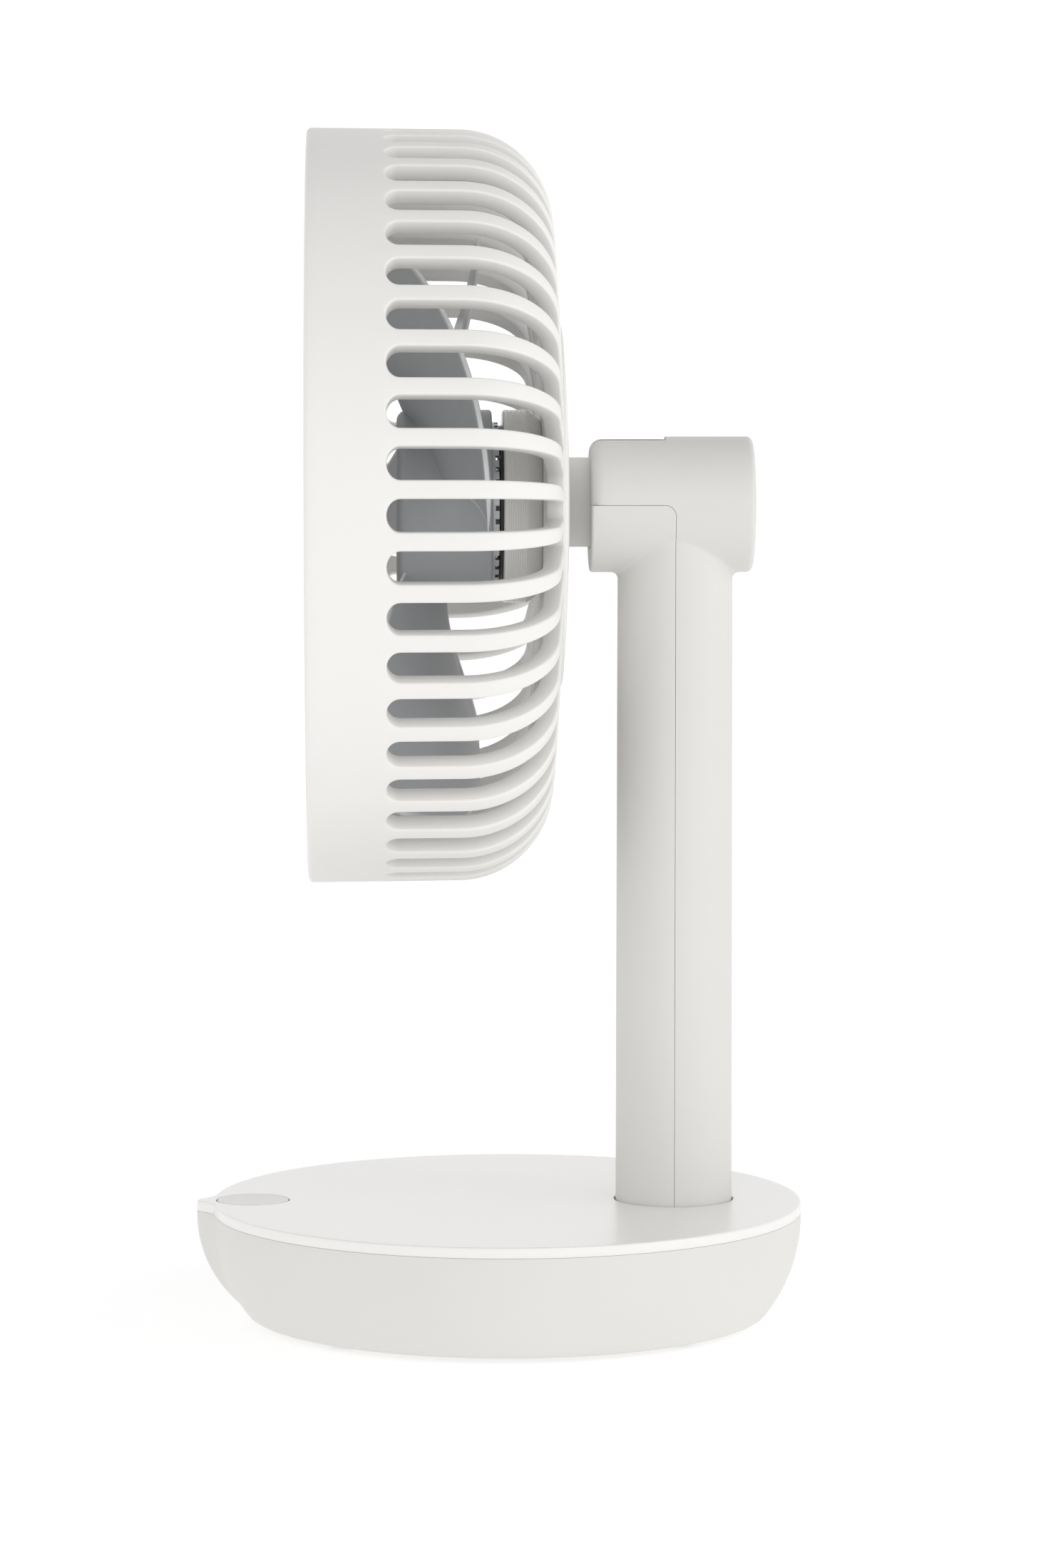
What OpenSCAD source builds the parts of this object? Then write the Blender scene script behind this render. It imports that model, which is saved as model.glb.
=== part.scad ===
// Desk fan: round base, swivelling column, tilting slotted head, three-bladed rotor.
// Millimetres. Z up. The origin is on the table under the middle of the round base.
// The head blows towards -X, the column stands at +X, and the XZ plane is the mirror plane.

/* [Head] */
// Outside diameter of the head at its front edge
head_d = 200.6; // [184:0.2:220]
// Height of the fan axis above the table
axis_h = 218.4; // [200:0.1:250]
// Length of the straight side of the head, front edge to shoulder
side_len = 39.8; // [36:0.2:46]
// Radius of the shoulder between the side and the rear face
shoulder_r = 25; // [18:0.5:29]
// Wall of the slotted rear shell, measured through a slat
head_wall = 4.6; // [3.6:0.1:5.2]
// How much the side narrows from the front edge to the shoulder, on the radius
side_draft = 0.45; // [0:0.05:1]
// Crown of the rear face between the shoulder and the middle
rear_crown = 1.8; // [1:0.1:2.4]
// Distance from the base centre forward to the front plane of the head
head_front = 53; // [50:0.1:53.4]

/* [Slots] */
// Slots round the rear shell, and the same number in the front grille
slot_n = 48; // [36:4:56]
// Open share of each slot pitch
slot_open = 0.64; // [0.5:0.01:0.7]
// Plain band of the rim in front of the slots
band_w = 20.5; // [16:0.5:24]
// Radius at which the rear slots start, outside the rear disc
slot_in_r = 53; // [52:0.5:58]

/* [Front grille] */
// Thickness of the front grille
front_t = 4; // [3:0.1:4.6]
// How far the front grille sits behind the front edge
front_sink = 0.8; // [0.4:0.1:1.2]
// Radius of the plain centre of the front grille
front_hub_r = 34; // [32:0.5:40]
// Radius where the front slots end
front_slot_r = 88; // [80:0.5:89]
// Radius of the round blank cap in the front grille
cap_r = 30; // [26:0.5:31]

/* [Rotor] */
// Number of blades
blade_n = 3; // [2:1:5]
// Radius at the blade tips
blade_r = 85.5; // [76:0.5:88]
// Thickness of a blade along the fan axis
blade_t = 1.8; // [1.2:0.1:2.4]
// Outside radius of the blade hub
hub_r = 25.7; // [24.6:0.1:27]
// Front face of the hub, forward of the base centre
hub_front = 29.4; // [28.6:0.1:31]
// Rear edge of the hub, forward of the base centre
hub_rear = 4.2; // [3.9:0.1:5.5]
// Radius of the motor shaft
shaft_r = 1.5; // [1.2:0.1:2]
// Radial running clearance of every shaft and pin
run_gap = 0.05; // [0.02:0.01:0.09]

/* [Neck and tilt hinge] */
// Radius of the rear disc
disc_r = 48.25; // [40:0.25:50]
// Crown of the rear disc
disc_crown = 1.9; // [1:0.1:2.2]
// Height of the neck, bottom face to top face
neck_h = 23.7; // [20:0.1:24.4]
// Width of the neck across the hinge
neck_w = 10; // [8:0.1:14]
// How far the middle of the neck sits above the hinge axis
neck_rise = 0.65; // [0:0.05:0.8]
// Hinge axis behind the base centre
pivot_x = 44; // [43.6:0.1:44.6]
// Hinge axis above the fan axis
pivot_rise = 0.5; // [0:0.1:1]
// Radius of the hinge pin
pin_r = 4; // [3:0.1:5]
// Side clearance between the neck and the column cheeks
cheek_gap = 0.35; // [0.3:0.05:0.6]
// Largest upward tilt of the head in degrees
tilt_max = 30; // [20:1:30]

/* [Column] */
// Radius of the horizontal barrel on top of the column
barrel_r = 18.1; // [17.2:0.1:20]
// Front face of the barrel, behind the base centre
barrel_front = 22.1; // [21.9:0.1:24]
// Rear face of the barrel, behind the base centre
barrel_rear = 65.5; // [63:0.1:70]
// Column axis behind the base centre
column_x = 45; // [44.5:0.1:45.5]
// Column radius where it meets the barrel
column_top_r = 15.35; // [14.8:0.05:16]
// Column radius at the base
column_foot_r = 15.65; // [15.2:0.05:16.6]
// Wall of the column shells
column_wall = 2.2; // [1.8:0.1:2.6]
// Seam between the two column shells
seam_gap = 0.1; // [0.05:0.01:0.2]

/* [Base] */
// Diameter of the round base at its top edge
base_d = 158.4; // [148:0.4:190]
// Depth of the bowl from the top plane to its floor underside
bowl_h = 30.6; // [29.8:0.1:36]
// Height of the rubber feet under the bowl
foot_h = 1.2; // [0.8:0.1:2]
// Thickness of the top cover
cover_t = 2.8; // [2.2:0.1:3.2]
// Wall of the bowl
bowl_wall = 2.4; // [2:0.1:2.8]
// How far the nose reaches out beyond the round edge
nose_out = 4.3; // [3:0.1:7]
// Radius of the nose tip seen from above
nose_r = 3.4; // [3.1:0.1:4]
// Half width over which the nose blends into the round edge
nose_blend = 9.5; // [9:0.1:12]
// Clearance round the column foot
foot_gap = 0.45; // [0.35:0.05:0.7]

/* [Button] */
// Radius of the push button
button_r = 9.6; // [8:0.1:10]
// Distance from the base centre forward to the button centre
button_x = 68.5; // [66:0.1:69]
// Clearance round the button
button_gap = 0.35; // [0.3:0.05:0.5]
// Travel of the button
button_travel = 0.8; // [0.5:0.1:0.9]

/* [Swivel drive] */
// Gear module
gear_m = 1.5; // [1.45:0.01:1.55]
// Teeth on the column gear
gear_n = 28; // [28:2:28]
// Teeth on the pinion
pinion_n = 10; // [10:1:10]
// Height of the gear teeth
gear_w = 4.4; // [3.6:0.1:4.6]
// Radius of the spigot under the column gear
spigot_r = 7; // [6.4:0.1:7.6]

/* [Fasteners] */
// Shank radius of the screws
screw_r = 1.5; // [1.2:0.05:1.6]
// Head radius of the screws
screw_head_r = 2.6; // [2.4:0.1:2.8]
// Mean radius of the rubber foot ring
foot_ring_r = 52.5; // [46:0.5:54]
// Width of the rubber foot ring
foot_ring_w = 9; // [6:0.5:10]

/* [Hidden] */
$fn = 64;
eps = 0.01;
head_r = head_d / 2;
top_z = foot_h + bowl_h;
pivot_z = axis_h + pivot_rise;
front_x = -head_front;
shoulder_x = front_x + side_len;
side_r = head_r - side_draft;
arc_r0 = side_r - shoulder_r;
rear_edge_x = shoulder_x + shoulder_r;
rear_x = rear_edge_x + rear_crown;
wall_x = rear_x - head_wall;
slot_half = 180 / slot_n * slot_open;
slot_start_x = front_x + band_w + side_r * tan(slot_half);
disc_x = rear_x + 0.8 + disc_crown;
disc_ball_r = (disc_r * disc_r + disc_crown * disc_crown) / (2 * disc_crown);
base_r = base_d / 2;
column_gear_r = gear_m * gear_n / 2;
pinion_r = gear_m * pinion_n / 2;
pinion_x = column_x - column_gear_r - pinion_r;
floor_z = foot_h + 2.2;
bowl_arc_r = 41.6 * bowl_h / 30.6;
bowl_arc_z = top_z - 3.94;
bell_r = hub_r - 3.3;
rotor_gap = 0.4;
flange_r = 19.5;
flange_t = 2.2;
nose_tip_x = base_r + nose_out - nose_r;
nose_dir = [cos(asin(nose_blend / base_r)), nose_blend / base_r];
// Radius of the hollow blend that touches both the round edge and the nose tip
blend_r = (base_r * base_r + nose_tip_x * nose_tip_x - 2 * base_r * nose_tip_x * nose_dir[0]
  - nose_r * nose_r) / (2 * (nose_r - base_r + nose_tip_x * nose_dir[0]));
blend_c = nose_dir * (base_r + blend_r);
blend_to_nose = ([nose_tip_x, 0] - blend_c) / (nose_r + blend_r);
nose_touch = [nose_tip_x, 0] - blend_to_nose * nose_r;
round_touch = nose_dir * base_r;
base_screw_at = [base_r * 0.783, 45];

// Which sub-part is drawn

// Local Z runs rearward along the fan axis, local X points down
module on_fan_axis() {
  translate([0, 0, axis_h]) rotate([0, 90, 0]) children();
}

// Local Z runs sideways along the hinge axis
module on_hinge_axis() {
  translate([pivot_x, 0, pivot_z]) rotate([90, 0, 0]) children();
}

// A ring or disc on the fan axis between two X positions
module fan_ring(x0, x1, r, bore = 0) {
  on_fan_axis() translate([0, 0, x0]) difference() {
    cylinder(h = x1 - x0, r = r);
    if (bore > 0) translate([0, 0, -1]) cylinder(h = x1 - x0 + 2, r = bore);
  }
}

// A round post or hole along Z
module post(x, y, z0, z1, r) {
  translate([x, y, z0]) cylinder(h = z1 - z0, r = r);
}

// A box from one corner to the opposite one
module span_box(a, b) {
  translate(a) cube(b - a);
}

// Screws at the corners of a square turned about Z
module around_z(n, r, turn) {
  for (k = [0:n - 1]) rotate([0, 0, turn + 360 / n * k]) translate([r, 0, 0]) children();
}

// ---- head ----

module head_profile(inset) {
  r = shoulder_r - inset;
  polygon([[0, front_x - (inset > 0 ? 1 : 0)], [head_r - inset, front_x - (inset > 0 ? 1 : 0)],
    [side_r - inset, shoulder_x], [arc_r0, shoulder_x], [arc_r0, rear_edge_x - inset],
    [arc_r0 * 0.668, rear_x - inset], [0, rear_x - inset]]);
  translate([arc_r0, shoulder_x]) circle(r = r);
}

// A wedge-shaped opening whose sides point at the fan axis
module slot_wedge(r0, r1, len) {
  linear_extrude(len) polygon([[r0, -r0 * tan(slot_half)], [r1, -r1 * tan(slot_half)],
    [r1, r1 * tan(slot_half)], [r0, r0 * tan(slot_half)]]);
}

module rear_slot() {
  r1 = head_r + 8;
  rc = head_r - 22;
  translate([0, 0, slot_start_x]) {
    slot_wedge(slot_in_r, r1, 60);
    translate([rc, 0, 0]) rotate([0, 90, 0])
      cylinder(h = r1 - rc, r1 = rc * tan(slot_half), r2 = r1 * tan(slot_half));
    translate([slot_in_r, 0, 0]) cylinder(h = 60, r = slot_in_r * tan(slot_half));
  }
}

module rear_grille() {
  color([0.95, 0.95, 0.93]) on_fan_axis() difference() {
    rotate_extrude() difference() {
      head_profile(0);
      head_profile(head_wall);
    }
    for (k = [0:slot_n - 1]) rotate([0, 0, 360 / slot_n * k]) rear_slot();
    translate([0, 0, rear_x - flange_t]) cylinder(h = 5, r = flange_r + 0.1);
    translate([0, 0, wall_x - 1]) around_z(4, 15, 45) cylinder(h = 8, r = screw_r + 0.05);
    translate([7.6, 0, wall_x - 1]) cylinder(h = 8, r = 2);
    translate([0, 0, wall_x - 1]) around_z(3, 36, 60) cylinder(h = 8, r = 2);
  }
}

module front_grille() {
  x0 = front_x + front_sink;
  color([0.94, 0.94, 0.92]) on_fan_axis() difference() {
    union() {
      translate([0, 0, x0]) cylinder(h = front_t, r = head_r - head_wall - 0.2);
      translate([0, 0, x0]) difference() {
        cylinder(h = front_t + 4, r = head_r - head_wall - 0.2);
        translate([0, 0, -1]) cylinder(h = front_t + 6, r = head_r - head_wall - 3.4);
      }
    }
    for (k = [0:slot_n - 1]) rotate([0, 0, 360 / slot_n * k]) translate([0, 0, x0 - 1]) {
      slot_wedge(front_hub_r, 60, front_t + 2);
      slot_wedge(62.4, front_slot_r, front_t + 2);
      translate([front_slot_r, 0, 0])
        cylinder(h = front_t + 2, r = front_slot_r * tan(slot_half));
    }
    translate([0, 0, x0 - 1]) cylinder(h = 2.4, r = cap_r + 0.1);
  }
}

module front_cap() {
  color([0.86, 0.86, 0.85]) on_fan_axis() rotate_extrude() difference() {
    translate([0, front_x + 0.2]) square([cap_r, front_sink + 1.2]);
    translate([0, front_x + 0.9 - 300]) circle(r = 300, $fn = 720);
  }
}

module rear_disc() {
  color([0.92, 0.92, 0.9]) difference() {
    union() {
      on_fan_axis() rotate_extrude() polygon(concat([[0, rear_x], [disc_r, rear_x]],
        [for (k = [16:-1:0]) let (r = disc_r * k / 16)
          [r, disc_x - disc_ball_r + sqrt(disc_ball_r * disc_ball_r - r * r)]]));
      on_fan_axis() translate([0, 0, rear_x - 3]) around_z(3, 36, 60)
        cylinder(h = 3.5, r = 2);
    }
    on_fan_axis() translate([0, 0, rear_x - 1]) cylinder(h = 2.1, r = flange_r + 0.8);
    neck_blade(0.15);
  }
}

// The flat tongue that carries the head, grown by a clearance
module neck_blade(grow) {
  span_box([rear_x - 2, -neck_w / 2 - grow, pivot_z + neck_rise - neck_h / 2 - grow],
    [pivot_x, neck_w / 2 + grow, pivot_z + neck_rise + neck_h / 2 + grow]);
}

// Slope on top of the tongue, inside the barrel, that clears it at full tilt
module neck_relief() {
  top = pivot_z + neck_rise + neck_h / 2;
  rotate([90, 0, 0]) translate([0, 0, -neck_w]) linear_extrude(2 * neck_w)
    polygon([[pivot_x - 16, top], [pivot_x + 1, top - 4.25], [pivot_x + 1, top + 1],
      [pivot_x - 16, top + 1]]);
}

module neck() {
  barrel = neck_h / 2 - neck_rise;
  color([0.68, 0.68, 0.67]) difference() {
    union() {
      difference() {
        neck_blade(0);
        neck_relief();
      }
      on_hinge_axis() translate([0, 0, -neck_w / 2]) cylinder(h = neck_w, r = barrel);
      fan_ring(rear_x - flange_t, rear_x, flange_r);
    }
    on_hinge_axis() translate([0, 0, -neck_w]) cylinder(h = 2 * neck_w, r = pin_r + run_gap);
    for (s = [0, 1]) mirror([0, s, 0]) on_hinge_axis()
      translate([0, 0, neck_w / 2 - 1.2]) cylinder(h = 3, r = 8.1);
    on_fan_axis() {
      translate([7.6, 0, rear_x - 4]) cylinder(h = 60, r = 2);
      translate([0, 0, rear_x - 4]) around_z(4, 15, 45) cylinder(h = 8, r = screw_r + 0.05);
      translate([0, 0, rear_x - 0.8]) around_z(4, 15, 45)
        cylinder(h = 4, r = screw_head_r + 0.1);
    }
  }
}

module friction_washers() {
  color([0.75, 0.76, 0.78]) for (s = [0, 1]) mirror([0, s, 0]) on_hinge_axis()
    translate([0, 0, neck_w / 2 - 1.2]) difference() {
      cylinder(h = 1.2, r = 8);
      translate([0, 0, -1]) cylinder(h = 4, r = pin_r + run_gap);
    }
}

module tilt_pin() {
  color([0.7, 0.71, 0.73]) on_hinge_axis() translate([0, 0, -13.5]) cylinder(h = 27, r = pin_r);
}

module head_screws() {
  color([0.7, 0.71, 0.73]) on_fan_axis() around_z(4, 15, 45) {
    translate([0, 0, 4]) cylinder(h = rear_x - 4.4, r = screw_r);
    translate([0, 0, rear_x - 0.8]) difference() {
      cylinder(h = 1.7, r = screw_head_r);
      translate([0, 0, 0.9]) for (t = [0, 90]) rotate([0, 0, t])
        translate([-1.6, -0.3, 0]) cube([3.2, 0.6, 2]);
    }
  }
}

// ---- motor and rotor ----

module motor_mount() {
  can_front = -1.3;
  color([0.72, 0.71, 0.69]) difference() {
    union() {
      on_fan_axis() rotate_extrude() polygon([[0, can_front], [hub_r, can_front],
        [hub_r, wall_x - 3.8], [hub_r - 2.9, wall_x], [hub_r - 5, wall_x],
        [hub_r - 5, can_front + 2.2], [0, can_front + 2.2]]);
      fan_ring(-6, can_front + 1, 10);
      fan_ring(-20, can_front, 6);
      on_fan_axis() translate([0, 0, can_front + 1]) around_z(4, 15, 45)
        cylinder(h = wall_x - can_front - 1, r = 3.6);
    }
    fan_ring(-21, -15, 4.5);
    fan_ring(-16, 4, 3);
    fan_ring(-2.6, 3, 4.5);
    on_fan_axis() translate([0, 0, 3.5]) around_z(4, 15, 45) cylinder(h = 20, r = screw_r);
    on_fan_axis() translate([12, 0, -4]) cylinder(h = 6, r = 1.6);
  }
}

module motor_board() {
  color([0.08, 0.09, 0.09]) difference() {
    fan_ring(-2.1, -1.3, hub_r - 4.2, 10.1);
    on_fan_axis() translate([12, 0, -4]) cylinder(h = 6, r = 1.6);
  }
}

module bearings() {
  color([0.7, 0.71, 0.73]) {
    fan_ring(-19.8, -16, 4.5, shaft_r + run_gap);
    fan_ring(-2.4, 0.9, 4.5, shaft_r + run_gap);
  }
}

module stator_core() {
  color([0.45, 0.46, 0.48]) on_fan_axis() translate([0, 0, -16.5]) linear_extrude(8.5) difference() {
    union() {
      circle(r = 9);
      for (k = [0:8]) rotate([0, 0, 40 * k]) translate([8, -1.5]) square([10, 3]);
      difference() {
        circle(r = stator_r());
        circle(r = stator_r() - 2);
        for (k = [0:8]) rotate([0, 0, 40 * k + 20]) translate([12, -1.2]) square([12, 2.4]);
      }
    }
    circle(r = 6);
  }
}

function stator_r() = bell_r - 1 - 1.5 - rotor_gap;

module stator_windings() {
  color([0.72, 0.4, 0.2]) on_fan_axis() for (k = [0:8]) rotate([0, 0, 40 * k]) difference() {
    translate([9.8, -2.7, -18.2]) cube([stator_r() - 12.4, 5.4, 11.9]);
    translate([9, -1.5, -16.5]) cube([12, 3, 8.5]);
  }
}

module magnet_ring() {
  color([0.2, 0.2, 0.21]) fan_ring(-20, -6, bell_r - 1, bell_r - 2.5);
}

module rotor_bell() {
  color([0.6, 0.61, 0.63]) difference() {
    union() {
      fan_ring(-24, -2.5, bell_r, bell_r - 1);
      fan_ring(-24, -23, bell_r - 0.5, 5);
    }
    on_fan_axis() for (k = [0:39]) rotate([0, 0, 9 * k])
      translate([bell_r - 2, -0.7, -3.5]) cube([4, 1.4, 3]);
  }
}

module motor_shaft() {
  color([0.75, 0.76, 0.78]) fan_ring(-27.6, 2.6, shaft_r);
}

// Blade surface: u runs from hub to tip, t from the rear edge to the front edge
function blade_x(u, t) = -16.2 + 9.4 * u * u * (3 - 2 * u) - (10.7 + 24.3 * u) * pow(t, 1.2 + u);
function blade_turn(u, t) = -3.4 + 15 * (1 - u) + 67 * t;
function tip_cut(t) = 9 * pow(max(0, 1 - t / 0.1), 2.2) + 9 * pow(max(0, (t - 0.9) / 0.1), 2.2);
function blade_point(u, t, side) = let (
    r0 = hub_r - 1.4,
    r = r0 + (blade_r - tip_cut(t) - r0) * u,
    a = -90 - blade_turn(u, t),
    edge = min(1, 0.35 + 6 * min(t, 1 - t)) * min(1, 0.5 + 8 * (1 - u)))
  [r * cos(a), r * sin(a), blade_x(u, t) + side * edge * blade_t / 2];

module blade() {
  nu = 12;
  nt = 22;
  row = nt + 1;
  half = (nu + 1) * row;
  points = [for (s = [1, -1]) for (i = [0:nu]) for (j = [0:nt]) blade_point(i / nu, j / nt, s)];
  skin = [for (i = [0:nu - 1]) for (j = [0:nt - 1]) let (a = i * row + j)
    each [[a + row, a + 1, a], [a + row, a + row + 1, a + 1]]];
  back = [for (f = skin) [f[2] + half, f[1] + half, f[0] + half]];
  ring = concat([for (j = [0:nt]) j], [for (i = [1:nu]) i * row + nt],
    [for (j = [nt - 1:-1:0]) nu * row + j], [for (i = [nu - 1:-1:1]) i * row]);
  m = len(ring);
  rim = [for (k = [0:m - 1]) let (a = ring[k], b = ring[(k + 1) % m])
    each [[a + half, a, b], [b + half, a + half, b]]];
  polyhedron(points = points, faces = concat(skin, back, rim));
}

module hub_profile() {
  r = 3;
  difference() {
    union() {
      translate([0, -hub_front]) square([hub_r - r, hub_front - hub_rear]);
      translate([0, -hub_front + r]) square([hub_r, hub_front - hub_rear - r]);
      translate([hub_r - r, -hub_front + r]) circle(r = r);
    }
    translate([0, -hub_front + 2]) square([bell_r, hub_front]);
  }
}

module fan_blade() {
  color([0.56, 0.58, 0.6]) difference() {
    on_fan_axis() union() {
      rotate_extrude() hub_profile();
      translate([0, 0, -hub_front + 1]) cylinder(h = 6.6, r = 4.4);
      for (k = [0:blade_n - 1]) rotate([0, 0, 360 / blade_n * k]) blade();
    }
    fan_ring(-27.6, -20, shaft_r);
  }
}

// ---- column ----

module barrel_profile(f) {
  r = 1.5;
  translate([0, barrel_front]) square([barrel_r - f, barrel_rear - barrel_front - r]);
  translate([0, barrel_front + f]) square([barrel_r, barrel_rear - barrel_front - f - r]);
  translate([barrel_r - f, barrel_front + f]) circle(r = f);
  translate([0, barrel_front + 5]) square([barrel_r - r, barrel_rear - barrel_front - 5]);
  translate([barrel_r - r, barrel_rear - r]) circle(r = r);
}

module column_solid(f) {
  translate([0, 0, pivot_z]) rotate([0, 90, 0]) rotate_extrude() barrel_profile(f);
  translate([column_x, 0, top_z - 8]) cylinder(h = 8 + eps, r = column_foot_r);
  translate([column_x, 0, top_z])
    cylinder(h = pivot_z - top_z, r1 = column_foot_r, r2 = column_top_r);
}

// Side view of the front shell: the front of the column up to the barrel's middle
module front_region(grow) {
  r = 3;
  z1 = pivot_z + 0.1 + grow;
  x1 = pivot_x + 0.3 + grow;
  translate([0, 60, 0]) rotate([90, 0, 0]) linear_extrude(120) {
    translate([10, top_z - 30]) square([x1 - r - 10 - grow, z1 - top_z + 30]);
    translate([10, top_z - 30]) square([x1 - 10, z1 - r - grow - top_z + 30]);
    translate([x1 - r - grow, z1 - r - grow]) circle(r = r + grow);
  }
}

module column_hollow() {
  translate([0, 0, pivot_z]) rotate([0, 90, 0])
    translate([0, 0, barrel_front + column_wall])
    cylinder(h = barrel_rear - barrel_front - 2 * column_wall, r = barrel_r - column_wall);
  post(column_x, 0, top_z - 9, pivot_z, column_top_r - column_wall);
}

module neck_slot() {
  low = pivot_z + neck_rise - neck_h / 2 - 0.4;
  half = neck_w / 2 + cheek_gap;
  span_box([barrel_front - 1, -half, low], [pivot_x - 1.7, half, pivot_z + barrel_r + 2]);
}

module column_body(f) {
  difference() {
    union() {
      difference() {
        column_solid(f);
        column_hollow();
      }
      intersection() {
        column_solid(f);
        union() {
          for (s = [-1, 1]) translate([pivot_x, s * (neck_w / 2 + cheek_gap), pivot_z])
            rotate([-90 * s, 0, 0]) cylinder(h = 20, r = 8);
          around_foot() post(0, 0, top_z - 8, top_z + 10, 3);
        }
      }
    }
    neck_slot();
    on_hinge_axis() translate([0, 0, -13.5]) cylinder(h = 27, r = pin_r);
    around_foot() post(0, 0, top_z - 9, top_z + 6, screw_r);
  }
}

module around_foot() {
  for (a = [35, 145, 215, 325]) translate([column_x + 10.6 * cos(a), 10.6 * sin(a), 0]) children();
}

module column_front_shell() {
  color([0.91, 0.91, 0.89]) intersection() {
    column_body(0.6);
    front_region(0);
  }
}

module column_rear_shell() {
  color([0.93, 0.93, 0.91]) difference() {
    column_body(3.3);
    front_region(seam_gap);
  }
}

// ---- swivel ----

// One gear outline: teeth with straight flanks on a root circle
module gear_outline(n, turn) {
  r = gear_m * n / 2;
  w = PI * gear_m / 4 - 0.28;
  circle(r = r - 1.9);
  for (k = [0:n - 1]) rotate([0, 0, turn + 360 / n * k])
    polygon([[r - 2.4, -w - 0.75], [r - 1.4, -w - 0.55], [r, -w], [r + 1.25, -w + 0.6],
      [r + 1.25, w - 0.6], [r, w], [r - 1.4, w + 0.55], [r - 2.4, w + 0.75]]);
}

module swivel_gear() {
  z0 = top_z - 8;
  color([0.88, 0.86, 0.78]) translate([column_x, 0, 0]) difference() {
    union() {
      translate([0, 0, z0]) linear_extrude(gear_w) gear_outline(gear_n, 180 / gear_n);
      post(0, 0, z0 - 3.2, z0 + eps, 18);
      post(0, 0, z0 - 14, z0, spigot_r);
    }
    post(0, 0, z0, z0 + 10, column_foot_r);
    post(0, 0, z0 - 20, z0 + 10, 4);
    translate([-column_x, 0, 0]) around_foot() {
      post(0, 0, z0 - 5, z0 + 1, screw_r + 0.05);
      post(0, 0, z0 - 5, z0 - 1.5, screw_head_r + 0.1);
    }
  }
}

module gear_screws() {
  z0 = top_z - 8;
  color([0.7, 0.71, 0.73]) around_foot() {
    post(0, 0, z0 - 2, z0 + 7, screw_r);
    difference() {
      post(0, 0, z0 - 3.1, z0 - 1.5, screw_head_r);
      translate([0, 0, z0 - 3.5]) for (t = [0, 90]) rotate([0, 0, t])
        translate([-1.6, -0.3, 0]) cube([3.2, 0.6, 1.2]);
    }
  }
}

module swivel_bush() {
  z1 = top_z - 11.6;
  color([0.9, 0.88, 0.8]) difference() {
    union() {
      post(column_x, 0, floor_z + 2, z1 - 1.5, 10);
      post(column_x, 0, z1 - 1.5, z1, 12);
    }
    post(column_x, 0, floor_z, z1 + 1, spigot_r + run_gap);
  }
}

module swivel_motor() {
  z1 = top_z - 12.4;
  color([0.66, 0.67, 0.69]) difference() {
    union() {
      post(pinion_x, 0, floor_z, z1, 12.4);
      post(pinion_x, 0, z1 - 1, z1 + 1.6, 4);
      for (s = [-1, 1]) span_box([pinion_x - 3, s * 14 - 3, z1 - 1.2], [pinion_x + 3, s * 14 + 3, z1]);
    }
    post(pinion_x, 0, floor_z + 6, z1 + 3, screw_r + run_gap);
  }
}

module swivel_pinion() {
  z0 = top_z - 8;
  color([0.88, 0.86, 0.78]) union() {
    translate([pinion_x, 0, z0]) linear_extrude(gear_w) gear_outline(pinion_n, 0);
    post(pinion_x, 0, floor_z + 7, z0 + gear_w, screw_r);
  }
}

// ---- base ----

// Plan of the round base with its nose
module base_plan(inset) {
  circle(r = base_r - inset);
  if (inset == 0) {
    translate([-nose_tip_x, 0]) circle(r = nose_r);
    difference() {
      polygon([for (p = [round_touch, nose_touch]) [-p[0], p[1]],
        for (p = [nose_touch, round_touch]) [-p[0], -p[1]]]);
      for (s = [-1, 1]) translate([-blend_c[0], s * blend_c[1]]) circle(r = blend_r, $fn = 96);
    }
  }
}

module bowl_profile(inset) {
  r = bowl_arc_r - inset;
  z0 = inset > 0 ? floor_z : foot_h;
  intersection() {
    union() {
      translate([base_r - bowl_arc_r, bowl_arc_z]) circle(r = r, $fn = 96);
      translate([0, foot_h - 1]) square([base_r - bowl_arc_r, bowl_h + 8]);
      translate([0, bowl_arc_z]) square([base_r - inset, bowl_h]);
    }
    translate([0, z0]) square([base_r, top_z - cover_t - 0.15 - z0 + (inset > 0 ? 4 : 0)]);
  }
}

// Bowl radius and keel radius at a height, and how far the nose stands out at a side offset
function bowl_r_at(z) = z > bowl_arc_z ? base_r
  : base_r - bowl_arc_r + sqrt(pow(bowl_arc_r, 2) - pow(bowl_arc_z - z, 2));
function keel_r_at(z) = base_r + nose_out - 31.2
  + sqrt(pow(31.2, 2) - pow(max(0, top_z - 4 - z), 2));
function nose_x_at(y) = abs(y) < nose_touch[1]
  ? nose_tip_x + sqrt(nose_r * nose_r - y * y)
  : blend_c[0] - sqrt(blend_r * blend_r - pow(abs(y) - blend_c[1], 2));
function keel_point(y, z, out) = let (
    x = nose_x_at(y),
    lift = max(0, keel_r_at(z) - bowl_r_at(z)) / nose_out,
    stand = (norm([x, y]) - base_r) * lift - 0.03,
    r = bowl_r_at(z) + (out ? stand : -1.4))
  [-r * x / norm([x, y]), r * y / norm([x, y]), z];

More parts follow.
